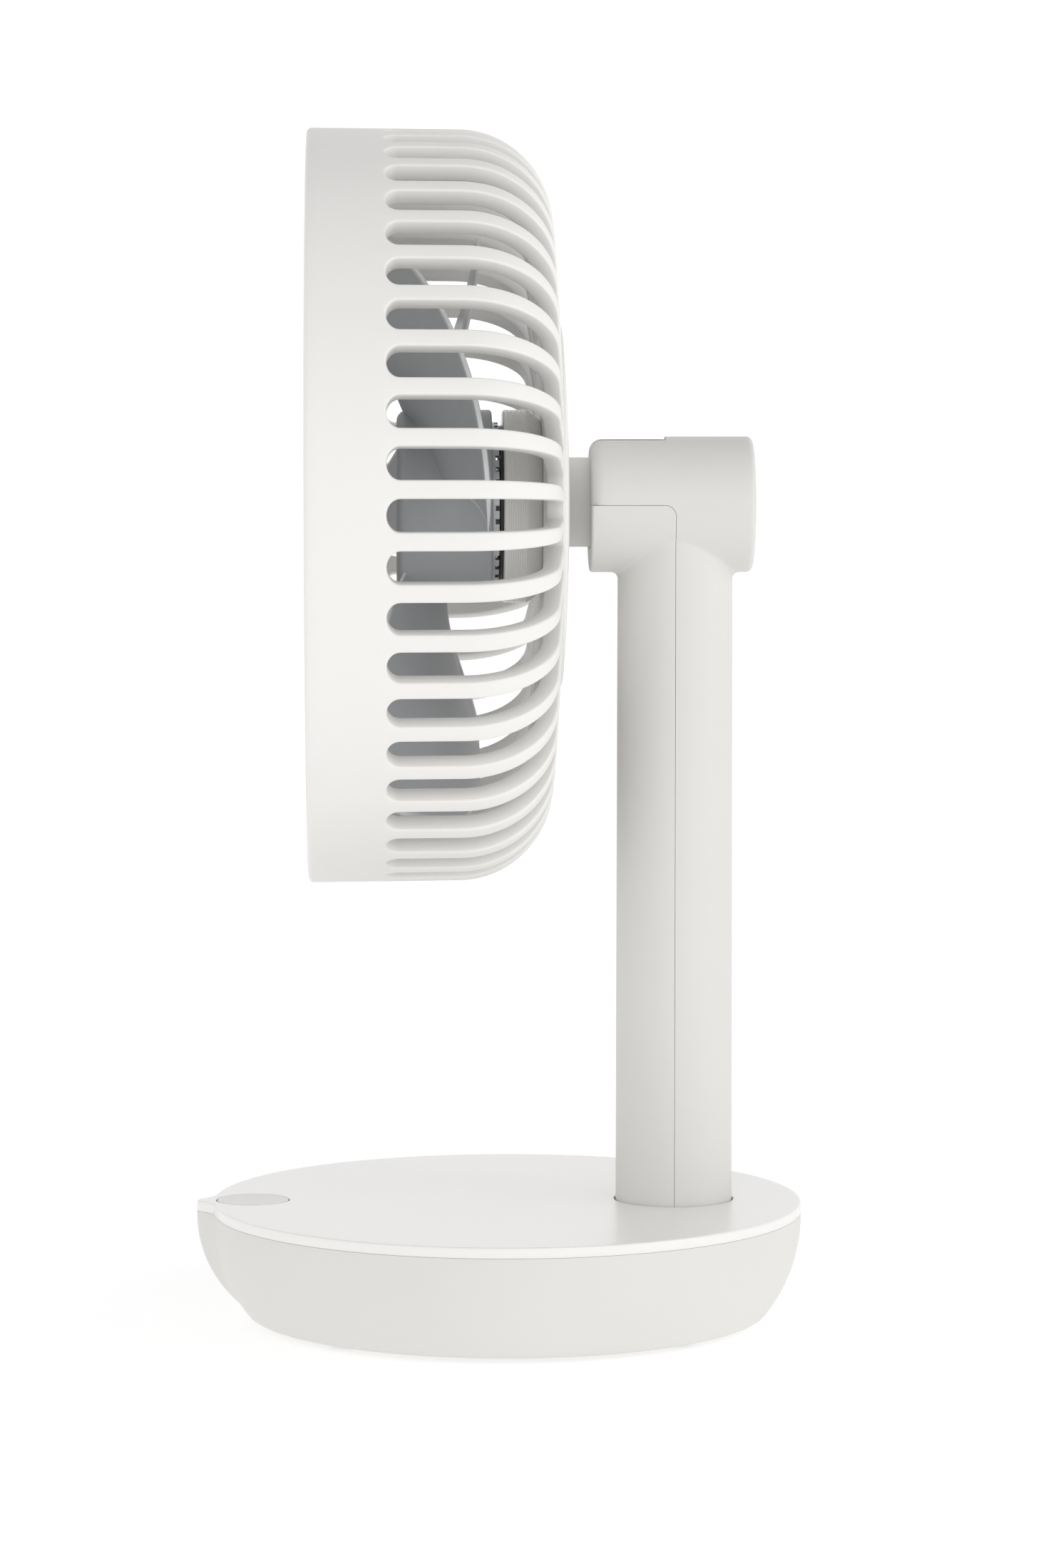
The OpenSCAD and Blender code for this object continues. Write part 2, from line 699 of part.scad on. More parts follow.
// The keel under the nose narrows and sinks into the bowl
module nose_keel() {
  ny = 22;
  nz = 12;
  z0 = top_z - bowl_h * 0.9;
  z1 = top_z - cover_t - 0.15;
  row = ny + 1;
  half = row * (nz + 1);
  points = [for (out = [true, false]) for (i = [0:nz]) for (j = [0:ny])
    keel_point(nose_blend * pow(abs(2 * j / ny - 1), 1.5) * sign(2 * j / ny - 1),
      z0 + (z1 - z0) * i / nz, out)];
  skin = [for (i = [0:nz - 1]) for (j = [0:ny - 1]) let (a = i * row + j)
    each [[a + 1, a + row, a], [a + 1, a + row + 1, a + row]]];
  back = [for (f = skin) [f[2] + half, f[1] + half, f[0] + half]];
  ring = concat([for (j = [0:ny]) j], [for (i = [1:nz]) i * row + ny],
    [for (j = [ny - 1:-1:0]) nz * row + j], [for (i = [nz - 1:-1:1]) i * row]);
  m = len(ring);
  rim = [for (k = [0:m - 1]) let (a = ring[k], b = ring[(k + 1) % m])
    each [[a + half, b, a], [a + half, b + half, b]]];
  polyhedron(points = points, faces = concat(skin, back, rim));
}

module around_base() {
  around_z(4, base_screw_at[0], base_screw_at[1]) children();
}

module board_posts() {
  for (x = [-66, -50]) for (y = [-14, 14]) translate([x, y, 0]) children();
}

module base_bowl() {
  color([0.89, 0.88, 0.86]) difference() {
    union() {
      difference() {
        union() {
          rotate_extrude() bowl_profile(0);
          nose_keel();
        }
        rotate_extrude() bowl_profile(bowl_wall);
      }
      around_base() post(0, 0, floor_z - eps, top_z - 14.2, 4);
      board_posts() post(0, 0, floor_z - eps, top_z - 11.6, 2.4);
      post(column_x, 0, floor_z - eps, top_z - 13.2, 12.4);
      for (y = [-6, 6]) post(base_r - 15.4, y, floor_z - eps, top_z - 19.2, 2);
    }
    around_base() {
      post(0, 0, foot_h - 1, top_z, screw_r + 0.1);
      post(0, 0, foot_h - 1, foot_h + 2.4, screw_head_r + 0.15);
    }
    difference() {
      post(0, 0, foot_h - 1, foot_h + 0.6, foot_ring_r + foot_ring_w / 2 + 0.05);
      post(0, 0, foot_h - 2, foot_h + 1, foot_ring_r - foot_ring_w / 2 - 0.05);
    }
    post(column_x, 0, floor_z + 1.9, top_z, 10.05);
    translate([0, 0, top_z - 6]) post(-button_x, 0, 0, 10, button_r + 1.9);
    inlet_form(0.1, 4);
  }
}

module base_top_cover() {
  z0 = top_z - cover_t;
  color([0.96, 0.96, 0.95]) difference() {
    union() {
      translate([0, 0, z0]) linear_extrude(cover_t) base_plan(0);
      difference() {
        post(0, 0, z0 - 3, z0 + eps, base_r - bowl_wall - 0.2);
        post(0, 0, z0 - 4, z0 + eps, base_r - bowl_wall - 1.6);
        span_box([-base_r, -16, z0 - 4], [-base_r + 30, 16, z0 + eps]);
      }
      around_base() post(0, 0, top_z - 14.1, z0 + eps, 3.4);
    }
    post(column_x, 0, z0 - 5, top_z + 1, column_foot_r + foot_gap);
    post(-button_x, 0, z0 - 5, top_z + 1, button_r + button_gap);
    around_base() post(0, 0, top_z - 15, top_z - 5.9, screw_r);
  }
}

module base_screws() {
  color([0.7, 0.71, 0.73]) around_base() {
    post(0, 0, foot_h + 1.5, top_z - 6, screw_r);
    difference() {
      post(0, 0, foot_h + 0.6, foot_h + 2.4, screw_head_r);
      translate([0, 0, foot_h - 0.2]) for (t = [0, 90]) rotate([0, 0, t])
        translate([-1.6, -0.3, 0]) cube([3.2, 0.6, 1.6]);
    }
  }
}

module foot_ring() {
  color([0.2, 0.2, 0.2]) difference() {
    post(0, 0, 0, foot_h + 0.6, foot_ring_r + foot_ring_w / 2);
    post(0, 0, -1, foot_h + 1, foot_ring_r - foot_ring_w / 2);
  }
}

module ballast_plate() {
  color([0.35, 0.36, 0.38]) difference() {
    intersection() {
      post(0, 0, floor_z, floor_z + 3, base_r - 25);
      span_box([-45, -90, 0], [90, 90, 40]);
    }
    post(column_x, 0, 0, 40, 13);
    post(pinion_x, 0, 0, 40, 13);
    span_box([pinion_x, -9, 0], [column_x, 9, 40]);
  }
}

module cell_at(grow) {
  for (x = [-34, -14]) translate([x, -32.5 - grow, floor_z + 12.4]) rotate([-90, 0, 0])
    cylinder(h = 65 + 2 * grow, r = 9.2 + grow);
}

module battery_cells() {
  color([0.25, 0.45, 0.62]) cell_at(0);
}

module battery_cradle() {
  color([0.3, 0.3, 0.31]) difference() {
    span_box([-44.6, -35.5, floor_z + 3], [-3.4, 35.5, floor_z + 13]);
    cell_at(0.12);
    span_box([-60, -24, floor_z + 5], [10, 24, floor_z + 30]);
    translate([0, 0, 0.01]) cell_at(0.12);
  }
}

module control_board() {
  color([0.1, 0.32, 0.2]) span_box([-70, -18, top_z - 11.6], [-46, 18, top_z - 10]);
}

module tact_switch() {
  color([0.12, 0.12, 0.12]) {
    span_box([-button_x - 3 + 1.6, -3, top_z - 10], [-button_x + 3 + 1.6, 3, top_z - 7]);
    post(-button_x + 1.6, 0, top_z - 7 - eps, top_z - 6.2, 1.6);
  }
}

module inlet_form(grow, out) {
  x1 = base_r - 2.4;
  z = top_z - 15.6;
  translate([x1 - 7.4, 0, z]) rotate([0, 90, 0]) linear_extrude(7.4 + out)
    for (s = [-1, 1]) {
      translate([0, s * 2.85]) circle(r = 1.65 + grow);
      translate([-1.65 - grow, -2.85]) square([3.3 + 2 * grow, 5.7]);
    }
}

module inlet_socket() {
  color([0.74, 0.75, 0.77]) difference() {
    inlet_form(0, 0);
    translate([0.8, 0, 0]) inlet_form(-0.35, 1);
    translate([1.2, 0, 0]) inlet_form(-0.35, 1);
  }
  color([0.1, 0.1, 0.1]) span_box([base_r - 9.2, -3.2, top_z - 15.95], [base_r - 3.4, 3.2, top_z - 15.25]);
}

module inlet_board() {
  color([0.1, 0.32, 0.2]) span_box([base_r - 18, -8, top_z - 19.2], [base_r - 6.6, 8, top_z - 17.3]);
}

module button_cap() {
  color([0.88, 0.86, 0.84]) difference() {
    union() {
      post(-button_x, 0, top_z - 2.6, top_z, button_r);
      post(-button_x, 0, top_z - 4.3, top_z - 2.6, button_r - 1.2);
      intersection() {
        post(-button_x, 0, top_z - 4.3, top_z - 3.4, button_r + 1.2);
        span_box([-button_x - 4, -30, 0], [0, 30, 60]);
      }
      post(-button_x + 1.6, 0, top_z - 5, top_z - 2.6, 2.2);
    }
    translate([-button_x, 0, 0]) rotate_extrude() intersection() {
      translate([0, top_z - 1]) square([button_r - 0.4, 2]);
      translate([0, top_z + 229.75]) circle(r = 230, $fn = 720);
    }
    difference() {
      post(-button_x, 0, top_z - 5, top_z - 2.4, button_r - 2.6);
      post(-button_x + 1.6, 0, top_z - 6, top_z, 2.2);
    }
  }
}

base_top_cover();
base_bowl();
base_screws();
foot_ring();
ballast_plate();
battery_cradle();
battery_cells();
control_board();
tact_switch();
inlet_socket();
inlet_board();
swivel_bush();
swivel_motor();
swivel_pinion();
button_cap();
column_front_shell();
column_rear_shell();
swivel_gear();
gear_screws();
tilt_pin();
friction_washers();
neck();
rear_disc();
rear_grille();
front_grille();
front_cap();
head_screws();
motor_mount();
motor_board();
bearings();
stator_core();
stator_windings();
fan_blade();
rotor_bell();
magnet_ring();
motor_shaft();
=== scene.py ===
import math
import bpy
import bmesh
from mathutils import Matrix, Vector


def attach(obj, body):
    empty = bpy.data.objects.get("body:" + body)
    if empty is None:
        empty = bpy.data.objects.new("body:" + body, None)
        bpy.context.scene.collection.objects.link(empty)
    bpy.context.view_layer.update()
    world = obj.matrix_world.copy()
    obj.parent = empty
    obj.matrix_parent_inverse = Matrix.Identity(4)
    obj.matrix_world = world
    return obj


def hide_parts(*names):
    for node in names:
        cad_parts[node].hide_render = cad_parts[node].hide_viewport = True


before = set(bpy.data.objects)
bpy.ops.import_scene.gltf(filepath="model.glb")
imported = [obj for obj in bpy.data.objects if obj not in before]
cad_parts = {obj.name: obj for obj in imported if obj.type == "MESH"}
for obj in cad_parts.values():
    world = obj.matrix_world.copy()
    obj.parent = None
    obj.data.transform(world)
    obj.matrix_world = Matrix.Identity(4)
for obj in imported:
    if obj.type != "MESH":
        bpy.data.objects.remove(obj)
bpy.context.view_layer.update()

scene = bpy.context.scene
mm = 0.001

# shared heights and places of the fan, in millimetres
place = {"fanAxis": 218.4, "topPlane": 31.8, "pivotX": 44.0, "pivotZ": 218.9}


# small helpers

def makeObject(name, verts, faces, scale=mm):
    mesh = bpy.data.meshes.new(name)
    mesh.from_pydata([tuple(c * scale for c in v) for v in verts], [], faces)
    obj = bpy.data.objects.new(name, mesh)
    scene.collection.objects.link(obj)
    return obj


def cleanUp(obj, sharpAngle=40, merge=2e-6):
    # welds doubles, turns the normals outwards and marks the crisp edges
    bm = bmesh.new()
    bm.from_mesh(obj.data)
    bmesh.ops.remove_doubles(bm, verts=bm.verts, dist=merge)
    bmesh.ops.recalc_face_normals(bm, faces=bm.faces)
    for face in bm.faces:
        face.smooth = True
    for edge in bm.edges:
        edge.smooth = not (len(edge.link_faces) == 2 and edge.calc_face_angle(0) > math.radians(sharpAngle))
    bm.to_mesh(obj.data)
    bm.free()
    return obj


def setMaterial(obj, material):
    obj.data.materials.clear()
    obj.data.materials.append(material)


def finishPiece(obj, body, slot, material, *nodes):
    # hands a finished piece to its body and hides the plain solids that it stands for
    setMaterial(obj, material)
    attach(obj, body)
    if nodes:
        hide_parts(*nodes)
    return obj


def arc(cx, cy, radius, fromDeg, toDeg, steps):
    # points on a circle arc, both ends included
    return [(cx + radius * math.cos(math.radians(fromDeg + (toDeg - fromDeg) * i / steps)),
             cy + radius * math.sin(math.radians(fromDeg + (toDeg - fromDeg) * i / steps)))
            for i in range(steps + 1)]


def gridFaces(rows, cols, wrap=False, start=0):
    # quads between rows of points that all have the same number of columns
    faces = []
    for i in range(rows - 1):
        for j in range(cols if wrap else cols - 1):
            k = (j + 1) % cols
            here, after = start + i * cols, start + (i + 1) * cols
            faces.append((here + j, here + k, after + k, after + j))
    return faces


def closingFaces(rows, cols):
    # quads that join the last row of points back to the first
    last = (rows - 1) * cols
    return [(last + j, last + (j + 1) % cols, (j + 1) % cols, j) for j in range(cols)]


def lathe(name, outline, steps=96, axis="x", centre=(0, 0, 0), closed=True):
    # turns an outline of (along, radius) points round an axis
    verts = []
    for along, radius in outline:
        radius = radius if radius > 0.02 else 0.0  # points on the axis meet in one
        for j in range(steps):
            a = 2 * math.pi * j / steps
            u, v = radius * math.cos(a), radius * math.sin(a)
            verts.append((centre[0] + along, centre[1] + u, centre[2] + v) if axis == "x"
                         else (centre[0] + u, centre[1] + v, centre[2] + along))
    rows = len(outline)
    faces = gridFaces(rows, steps, wrap=True)
    if closed:
        faces += closingFaces(rows, steps)
    obj = makeObject(name, verts, faces)
    bm = bmesh.new()
    bm.from_mesh(obj.data)
    bmesh.ops.dissolve_degenerate(bm, dist=1e-6, edges=bm.edges)
    bm.to_mesh(obj.data)
    bm.free()
    return cleanUp(obj)


def keepResult(obj, modifier):
    # the mesh that the modifier makes becomes the object's own
    graph = bpy.context.evaluated_depsgraph_get()
    mesh = bpy.data.meshes.new_from_object(obj.evaluated_get(graph))
    obj.modifiers.remove(modifier)
    obj.data = mesh
    return obj


def joinPieces(name, pieces):
    # one mesh from several plain pieces
    bm = bmesh.new()
    for piece in pieces:
        bm.from_mesh(piece.data)
    mesh = bpy.data.meshes.new(name)
    bm.to_mesh(mesh)
    bm.free()
    obj = bpy.data.objects.new(name, mesh)
    scene.collection.objects.link(obj)
    for piece in pieces:
        bpy.data.objects.remove(piece)
    return obj


# geometry nodes: copies of a shape round an axis

def ringTree():
    tree = bpy.data.node_groups.new("ringOfCopies", "GeometryNodeTree")
    face = tree.interface
    face.new_socket("Geometry", in_out="INPUT", socket_type="NodeSocketGeometry")
    for label, kind, value in (("Count", "NodeSocketInt", 8), ("Axis", "NodeSocketVector", (1, 0, 0)),
                               ("Centre", "NodeSocketVector", (0, 0, 0)), ("Start Angle", "NodeSocketFloat", 0.0),
                               ("Weld Distance", "NodeSocketFloat", 0.000004),
                               ("Material", "NodeSocketMaterial", None)):
        socket = face.new_socket(label, in_out="INPUT", socket_type=kind)
        if value is not None:
            socket.default_value = value
    face.new_socket("Geometry", in_out="OUTPUT", socket_type="NodeSocketGeometry")
    node, link = tree.nodes.new, tree.links.new
    groupIn, groupOut = node("NodeGroupInput"), node("NodeGroupOutput")
    points = node("GeometryNodePoints")
    index = node("GeometryNodeInputIndex")
    share = node("ShaderNodeMath"); share.operation = "DIVIDE"
    turn = node("ShaderNodeMath"); turn.operation = "MULTIPLY_ADD"
    turn.inputs[1].default_value = 2 * math.pi
    spin = node("FunctionNodeAxisAngleToRotation")
    copies = node("GeometryNodeInstanceOnPoints")
    real = node("GeometryNodeRealizeInstances")
    weld = node("GeometryNodeMergeByDistance")
    paint = node("GeometryNodeSetMaterial")
    link(groupIn.outputs["Count"], points.inputs["Count"])
    link(groupIn.outputs["Centre"], points.inputs["Position"])
    link(index.outputs[0], share.inputs[0])
    link(groupIn.outputs["Count"], share.inputs[1])
    link(share.outputs[0], turn.inputs[0])
    link(groupIn.outputs["Start Angle"], turn.inputs[2])
    link(groupIn.outputs["Axis"], spin.inputs["Axis"])
    link(turn.outputs[0], spin.inputs["Angle"])
    link(points.outputs[0], copies.inputs["Points"])
    link(groupIn.outputs["Geometry"], copies.inputs["Instance"])
    link(spin.outputs[0], copies.inputs["Rotation"])
    link(groupIn.outputs["Weld Distance"], weld.inputs["Distance"])
    # the copies are made real before they are welded
    link(copies.outputs[0], real.inputs[0])
    link(real.outputs[0], weld.inputs["Geometry"])
    link(weld.outputs[0], paint.inputs["Geometry"])
    link(groupIn.outputs["Material"], paint.inputs["Material"])
    link(paint.outputs[0], groupOut.inputs[0])
    return tree


def copyRound(obj, tree, material, count, axis, centre, startDeg=0.0, weld=0.004):
    # runs the tree on one shape and keeps the result as a plain mesh
    modifier = obj.modifiers.new("copies", "NODES")
    modifier.node_group = tree
    sizes = {"Count": count, "Axis": axis, "Centre": [c * mm for c in centre],
             "Start Angle": math.radians(startDeg), "Weld Distance": weld * mm, "Material": material}
    for item in tree.interface.items_tree:
        if item.item_type == "SOCKET" and item.in_out == "INPUT" and item.name in sizes:
            modifier[item.identifier] = sizes[item.name]
    obj.data.update()
    return keepResult(obj, modifier)


# materials

def plastic(name, colour, look):
    # moulded plastic: faint cloudy tone, fine spark-eroded grain and a roughness that drifts a little
    material = bpy.data.materials.new(name)
    material.use_nodes = True
    nodes, link = material.node_tree.nodes, material.node_tree.links.new
    shader = nodes["Principled BSDF"]
    shader.inputs["Specular IOR Level"].default_value = look.get("specular", 0.5)
    shader.inputs["Coat Weight"].default_value = look.get("coat", 0.0)
    shader.inputs["Coat Roughness"].default_value = look.get("coatRoughness", 0.2)
    shader.inputs["Subsurface Weight"].default_value = look.get("glow", 0.0)
    shader.inputs["Subsurface Radius"].default_value = (0.004, 0.0036, 0.003)
    shader.inputs["Metallic"].default_value = look.get("metal", 0.0)
    coords = nodes.new("ShaderNodeTexCoord")
    cloud = nodes.new("ShaderNodeTexNoise")
    cloud.inputs["Scale"].default_value = look.get("cloudScale", 26.0)
    cloud.inputs["Detail"].default_value = 3.0
    grain = nodes.new("ShaderNodeTexNoise")
    grain.inputs["Scale"].default_value = look.get("grainScale", 2600.0)
    grain.inputs["Detail"].default_value = 2.0
    tone = nodes.new("ShaderNodeMix")
    tone.data_type = "RGBA"
    drift = look.get("drift", 0.02)
    tone.inputs["A"].default_value = (*[c * (1 - drift) for c in colour], 1)
    tone.inputs["B"].default_value = (*[min(1, c * (1 + drift * 0.6)) for c in colour], 1)
    rough = nodes.new("ShaderNodeMapRange")
    rough.inputs["To Min"].default_value = look.get("roughness", 0.5) - 0.04
    rough.inputs["To Max"].default_value = look.get("roughness", 0.5) + 0.04
    bump = nodes.new("ShaderNodeBump")
    bump.inputs["Strength"].default_value = look.get("bump", 0.12)
    bump.inputs["Distance"].default_value = 0.00004
    link(coords.outputs["Object"], cloud.inputs["Vector"])
    link(coords.outputs["Object"], grain.inputs["Vector"])
    link(cloud.outputs["Fac"], tone.inputs["Factor"])
    link(tone.outputs["Result"], shader.inputs["Base Color"])
    link(grain.outputs["Fac"], rough.inputs["Value"])
    link(rough.outputs["Result"], shader.inputs["Roughness"])
    link(grain.outputs["Fac"], bump.inputs["Height"])
    link(bump.outputs["Normal"], shader.inputs["Normal"])
    return material


def metal(name, colour, look):
    # drawn or turned metal with faint brush lines along one direction
    material = plastic(name, colour, {"metal": 1.0, "roughness": look.get("roughness", 0.32), "drift": 0.06,
                                      "cloudScale": 60.0, "bump": 0.08, "grainScale": 900.0})
    nodes, link = material.node_tree.nodes, material.node_tree.links.new
    stretch = nodes.new("ShaderNodeMapping")
    stretch.inputs["Scale"].default_value = look.get("stretch", (0.1, 1, 1))
    coords = next(n for n in nodes if n.type == "TEX_COORD")
    link(coords.outputs["Object"], stretch.inputs["Vector"])
    for noise in (n for n in nodes if n.type == "TEX_NOISE"):
        link(stretch.outputs["Vector"], noise.inputs["Vector"])
    return material


def paintHighlightOnEdges(material, colour):
    # painted highlight: the blade edges are made lighter where the mesh carries the edge attribute, standing in for
    # light caught by the thin edges
    nodes, link = material.node_tree.nodes, material.node_tree.links.new
    shader = nodes["Principled BSDF"]
    old = shader.inputs["Base Color"].links[0].from_socket
    highlightShare = nodes.new("ShaderNodeAttribute")
    highlightShare.attribute_name = "edgeHighlight"
    mix = nodes.new("ShaderNodeMix")
    mix.data_type = "RGBA"
    mix.inputs["B"].default_value = (*colour, 1)
    link(highlightShare.outputs["Fac"], mix.inputs["Factor"])
    link(old, mix.inputs["A"])
    link(mix.outputs["Result"], shader.inputs["Base Color"])


finishes = {
    "coverWhite": plastic("coverWhite", (0.84, 0.826, 0.806),
                          {"roughness": 0.36, "coat": 0.7, "coatRoughness": 0.26, "bump": 0.05}),
    # painted shade: the bowl is given a darker copy of the shell's off-white plastic
    "bowlWhiteWithPaintedShade": plastic("bowlWhiteWithPaintedShade", (0.71, 0.702, 0.68), {"roughness": 0.44}),
    "shellWhite": plastic("shellWhite", (0.82, 0.81, 0.79), {"roughness": 0.46}),
    # painted shade: the column is given a darker copy of the shell's off-white plastic
    "columnWhiteWithPaintedShade": plastic("columnWhiteWithPaintedShade", (0.7, 0.69, 0.67), {"roughness": 0.5}),
    "buttonWhite": plastic("buttonWhite", (0.8, 0.785, 0.765), {"roughness": 0.42}),
    "capGrey": plastic("capGrey", (0.72, 0.72, 0.705), {"roughness": 0.4}),
    "neckGrey": plastic("neckGrey", (0.74, 0.735, 0.715), {"roughness": 0.5}),
    "bladeGrey": plastic("bladeGrey", (0.37, 0.385, 0.4), {"roughness": 0.38, "drift": 0.05}),
    "mountGrey": plastic("mountGrey", (0.82, 0.81, 0.785),
                         {"roughness": 0.24, "coat": 0.5, "coatRoughness": 0.12}),
    "darkPlastic": plastic("darkPlastic", (0.03, 0.03, 0.032), {"roughness": 0.5}),
    "acetal": plastic("acetal", (0.68, 0.64, 0.52), {"roughness": 0.4}),
    "footRubber": plastic("footRubber", (0.035, 0.035, 0.036),
                          {"roughness": 0.8, "bump": 0.3, "grainScale": 1200.0}),
    "switchBlack": plastic("switchBlack", (0.01, 0.01, 0.01), {"roughness": 0.45}),
    "cellBlue": plastic("cellBlue", (0.02, 0.09, 0.2), {"roughness": 0.3, "coat": 0.4}),
    "boardGreen": plastic("boardGreen", (0.01, 0.06, 0.025), {"roughness": 0.35, "coat": 0.4}),
    "boardBlack": plastic("boardBlack", (0.008, 0.008, 0.009), {"roughness": 0.4, "coat": 0.3}),
    "screwSteel": metal("screwSteel", (0.5, 0.51, 0.53), {"stretch": (1, 1, 0.15)}),
    "bearingSteel": metal("bearingSteel", (0.6, 0.61, 0.63), {"roughness": 0.2}),
    "bellSteel": metal("bellSteel", (0.42, 0.43, 0.45), {"roughness": 0.3}),
    "coreSteel": metal("coreSteel", (0.2, 0.2, 0.22), {"roughness": 0.4, "stretch": (8, 0.5, 0.5)}),
    "canSteel": metal("canSteel", (0.45, 0.46, 0.48), {"stretch": (1, 1, 0.1)}),
    "socketSteel": metal("socketSteel", (0.6, 0.61, 0.63), {"roughness": 0.25}),
    "castIron": metal("castIron", (0.09, 0.09, 0.1), {"roughness": 0.6, "stretch": (1, 1, 1)}),
    "magnetDark": metal("magnetDark", (0.05, 0.05, 0.055), {"roughness": 0.55, "stretch": (1, 1, 1)}),
    "copperWire": metal("copperWire", (0.55, 0.2, 0.06), {"roughness": 0.3, "stretch": (12, 1, 1)}),
}
# painted highlight colour on the blade edges
paintHighlightOnEdges(finishes["bladeGrey"], (0.72, 0.73, 0.74))
print("materials ready:", len(finishes))

ring = ringTree()


onFanAxis = (0, 0, place["fanAxis"])


# slotted shells

def along(path, s):
    # position and normal at a length along an outline of (x, radius, normalX, normalRadius, length)
    for a, b in zip(path, path[1:]):
        if s <= b[4] or b is path[-1]:
            t = 0 if b[4] == a[4] else (s - a[4]) / (b[4] - a[4])
            p = [a[k] + (b[k] - a[k]) * t for k in range(4)]
            size = math.hypot(p[2], p[3])
            return p[0], p[1], p[2] / size, p[3] / size


def measured(points):
    # adds the running length to outline points
    out, length = [], 0.0
    for i, p in enumerate(points):
        if i:
            length += math.hypot(p[0] - points[i - 1][0], p[1] - points[i - 1][1])
        out.append((*p, length))
    return out


def slottedSector(name, path, cells, depth, count, lip, backRows, look):
    # one sector of a round shell: plain strips, slot cells with rounded ends and soft edges, and a front lip
    halfPitch = math.pi / count
    verts, faces, table = [], [], {}
    cols = [-1, -0.66, -0.33, 0, 0.33, 0.66, 1]

    def pointAt(x, r, angle):
        # the number of a point; the same place always gives the same number
        key = (round(x, 4), round(r, 4), round(angle, 7))
        if key not in table:
            table[key] = len(verts)
            verts.append((x, r * math.sin(angle), -r * math.cos(angle)))
        return table[key]

    def point(s, angle, d):
        x, r, nx, nr = along(path, s)
        return pointAt(x - nx * d, r - nr * d, angle)

    def strip(rowsOfPoints):
        for a, b in zip(rowsOfPoints, rowsOfPoints[1:]):
            for j in range(len(a) - 1):
                quad = list(dict.fromkeys((a[j], a[j + 1], b[j + 1], b[j])))
                if len(quad) > 2:
                    faces.append(quad)

    def row(s, d):
        return [point(s, c * halfPitch, d) for c in cols]

    def slotCell(cell):
        # an opening with rounded ends inside its rectangle; loops start at the left front corner
        sA, sB, half = cell["start"], cell["end"], cell["halfAngle"]
        rA, rB = along(path, sA)[1], along(path, sB)[1]
        tipA, tipB = cell.get("tipA", rA * half), cell.get("tipB", rB * half)
        sides = [sA + (sB - sA) * t for t in cell["rows"]]
        front, back = cell["frameStart"], cell["frameEnd"]
        rim, normal, soft, rect = [], [], [], []
        steps = 12
        for i in range(steps + 1):  # front end, left to right
            a = math.pi * i / steps
            rim.append((sA - tipA * math.sin(a), -math.cos(a) * half * rA))
            normal.append((-math.sin(a), -math.cos(a)))
            soft.append(look["tipSoft"] + (look["sideSoft"] - look["tipSoft"]) * abs(math.cos(a)))
            if i <= 3:
                rect.append((sA + (front - sA) * i / 3, -1))
            elif i <= 9:
                rect.append((front, cols[i - 3]))
            else:
                rect.append((front + (sA - front) * (i - 9) / 3, 1))
        for s in sides[1:-1]:  # right side, front to rear
            rim.append((s, half * along(path, s)[1]))
            normal.append((0, 1)); soft.append(look["sideSoft"]); rect.append((s, 1))
        for i in range(steps + 1):  # rear end, right to left
            a = math.pi * i / steps
            rim.append((sB + tipB * math.sin(a), math.cos(a) * half * rB))
            normal.append((math.sin(a), math.cos(a)))
            soft.append(look["endSoft"])
            if i <= 3:
                rect.append((sB + (back - sB) * i / 3, 1))
            elif i <= 9:
                rect.append((back, cols[9 - i]))
            else:
                rect.append((back + (sB - back) * (i - 9) / 3, -1))
        for s in reversed(sides[1:-1]):  # left side, rear to front
            rim.append((s, -half * along(path, s)[1]))
            normal.append((0, -1)); soft.append(look["sideSoft"]); rect.append((s, -1))
        n = len(rim)

        def loop(widths, depths):
            # the rim moved outwards, with a width and a depth for each of its points
            out = []
            for (s, t), (ns, nt), width, d in zip(rim, normal, widths, depths):
                s, t = s + ns * width, t + nt * width
                out.append(point(s, t / along(path, s)[1], d))
            return out

        loops = [[point(s, c * halfPitch, 0) for s, c in rect]]
        for i in range(look["softSteps"] + 1):  # soft outer edge
            a = math.pi / 2 * i / look["softSteps"]
            loops.append(loop([w * (1 - math.sin(a)) for w in soft], [w * (1 - math.cos(a)) for w in soft]))
        inner = look["innerSoft"]
        loops.append(loop([0] * n, [depth - inner] * n))
        loops.append(loop([inner] * n, [depth] * n))
        loops.append([point(s, c * halfPitch, depth) for s, c in rect])
        strip([l + l[:1] for l in loops])

    # outer and inner skins, strip by strip
    for skin in (0, depth):
        s0 = 0.0
        for cell in cells:
            rows = cell.get("plainRows", 4)
            strip([row(s0 + (cell["frameStart"] - s0) * i / rows, skin) for i in range(rows + 1)])
            s0 = cell["frameEnd"]
        strip([row(s0 + (path[-1][4] - s0) * i / backRows, skin) for i in range(backRows + 1)])
    for cell in cells:
        slotCell(cell)

    # front lip and rear closing wall
    lipRows = [[pointAt(x, r, c * halfPitch) for c in cols] for x, r in lip]
    strip([row(0.0, 0)] + lipRows + [row(0.0, depth)])
    strip([row(path[-1][4], 0), row(path[-1][4], depth)])
    return makeObject(name, verts, faces)


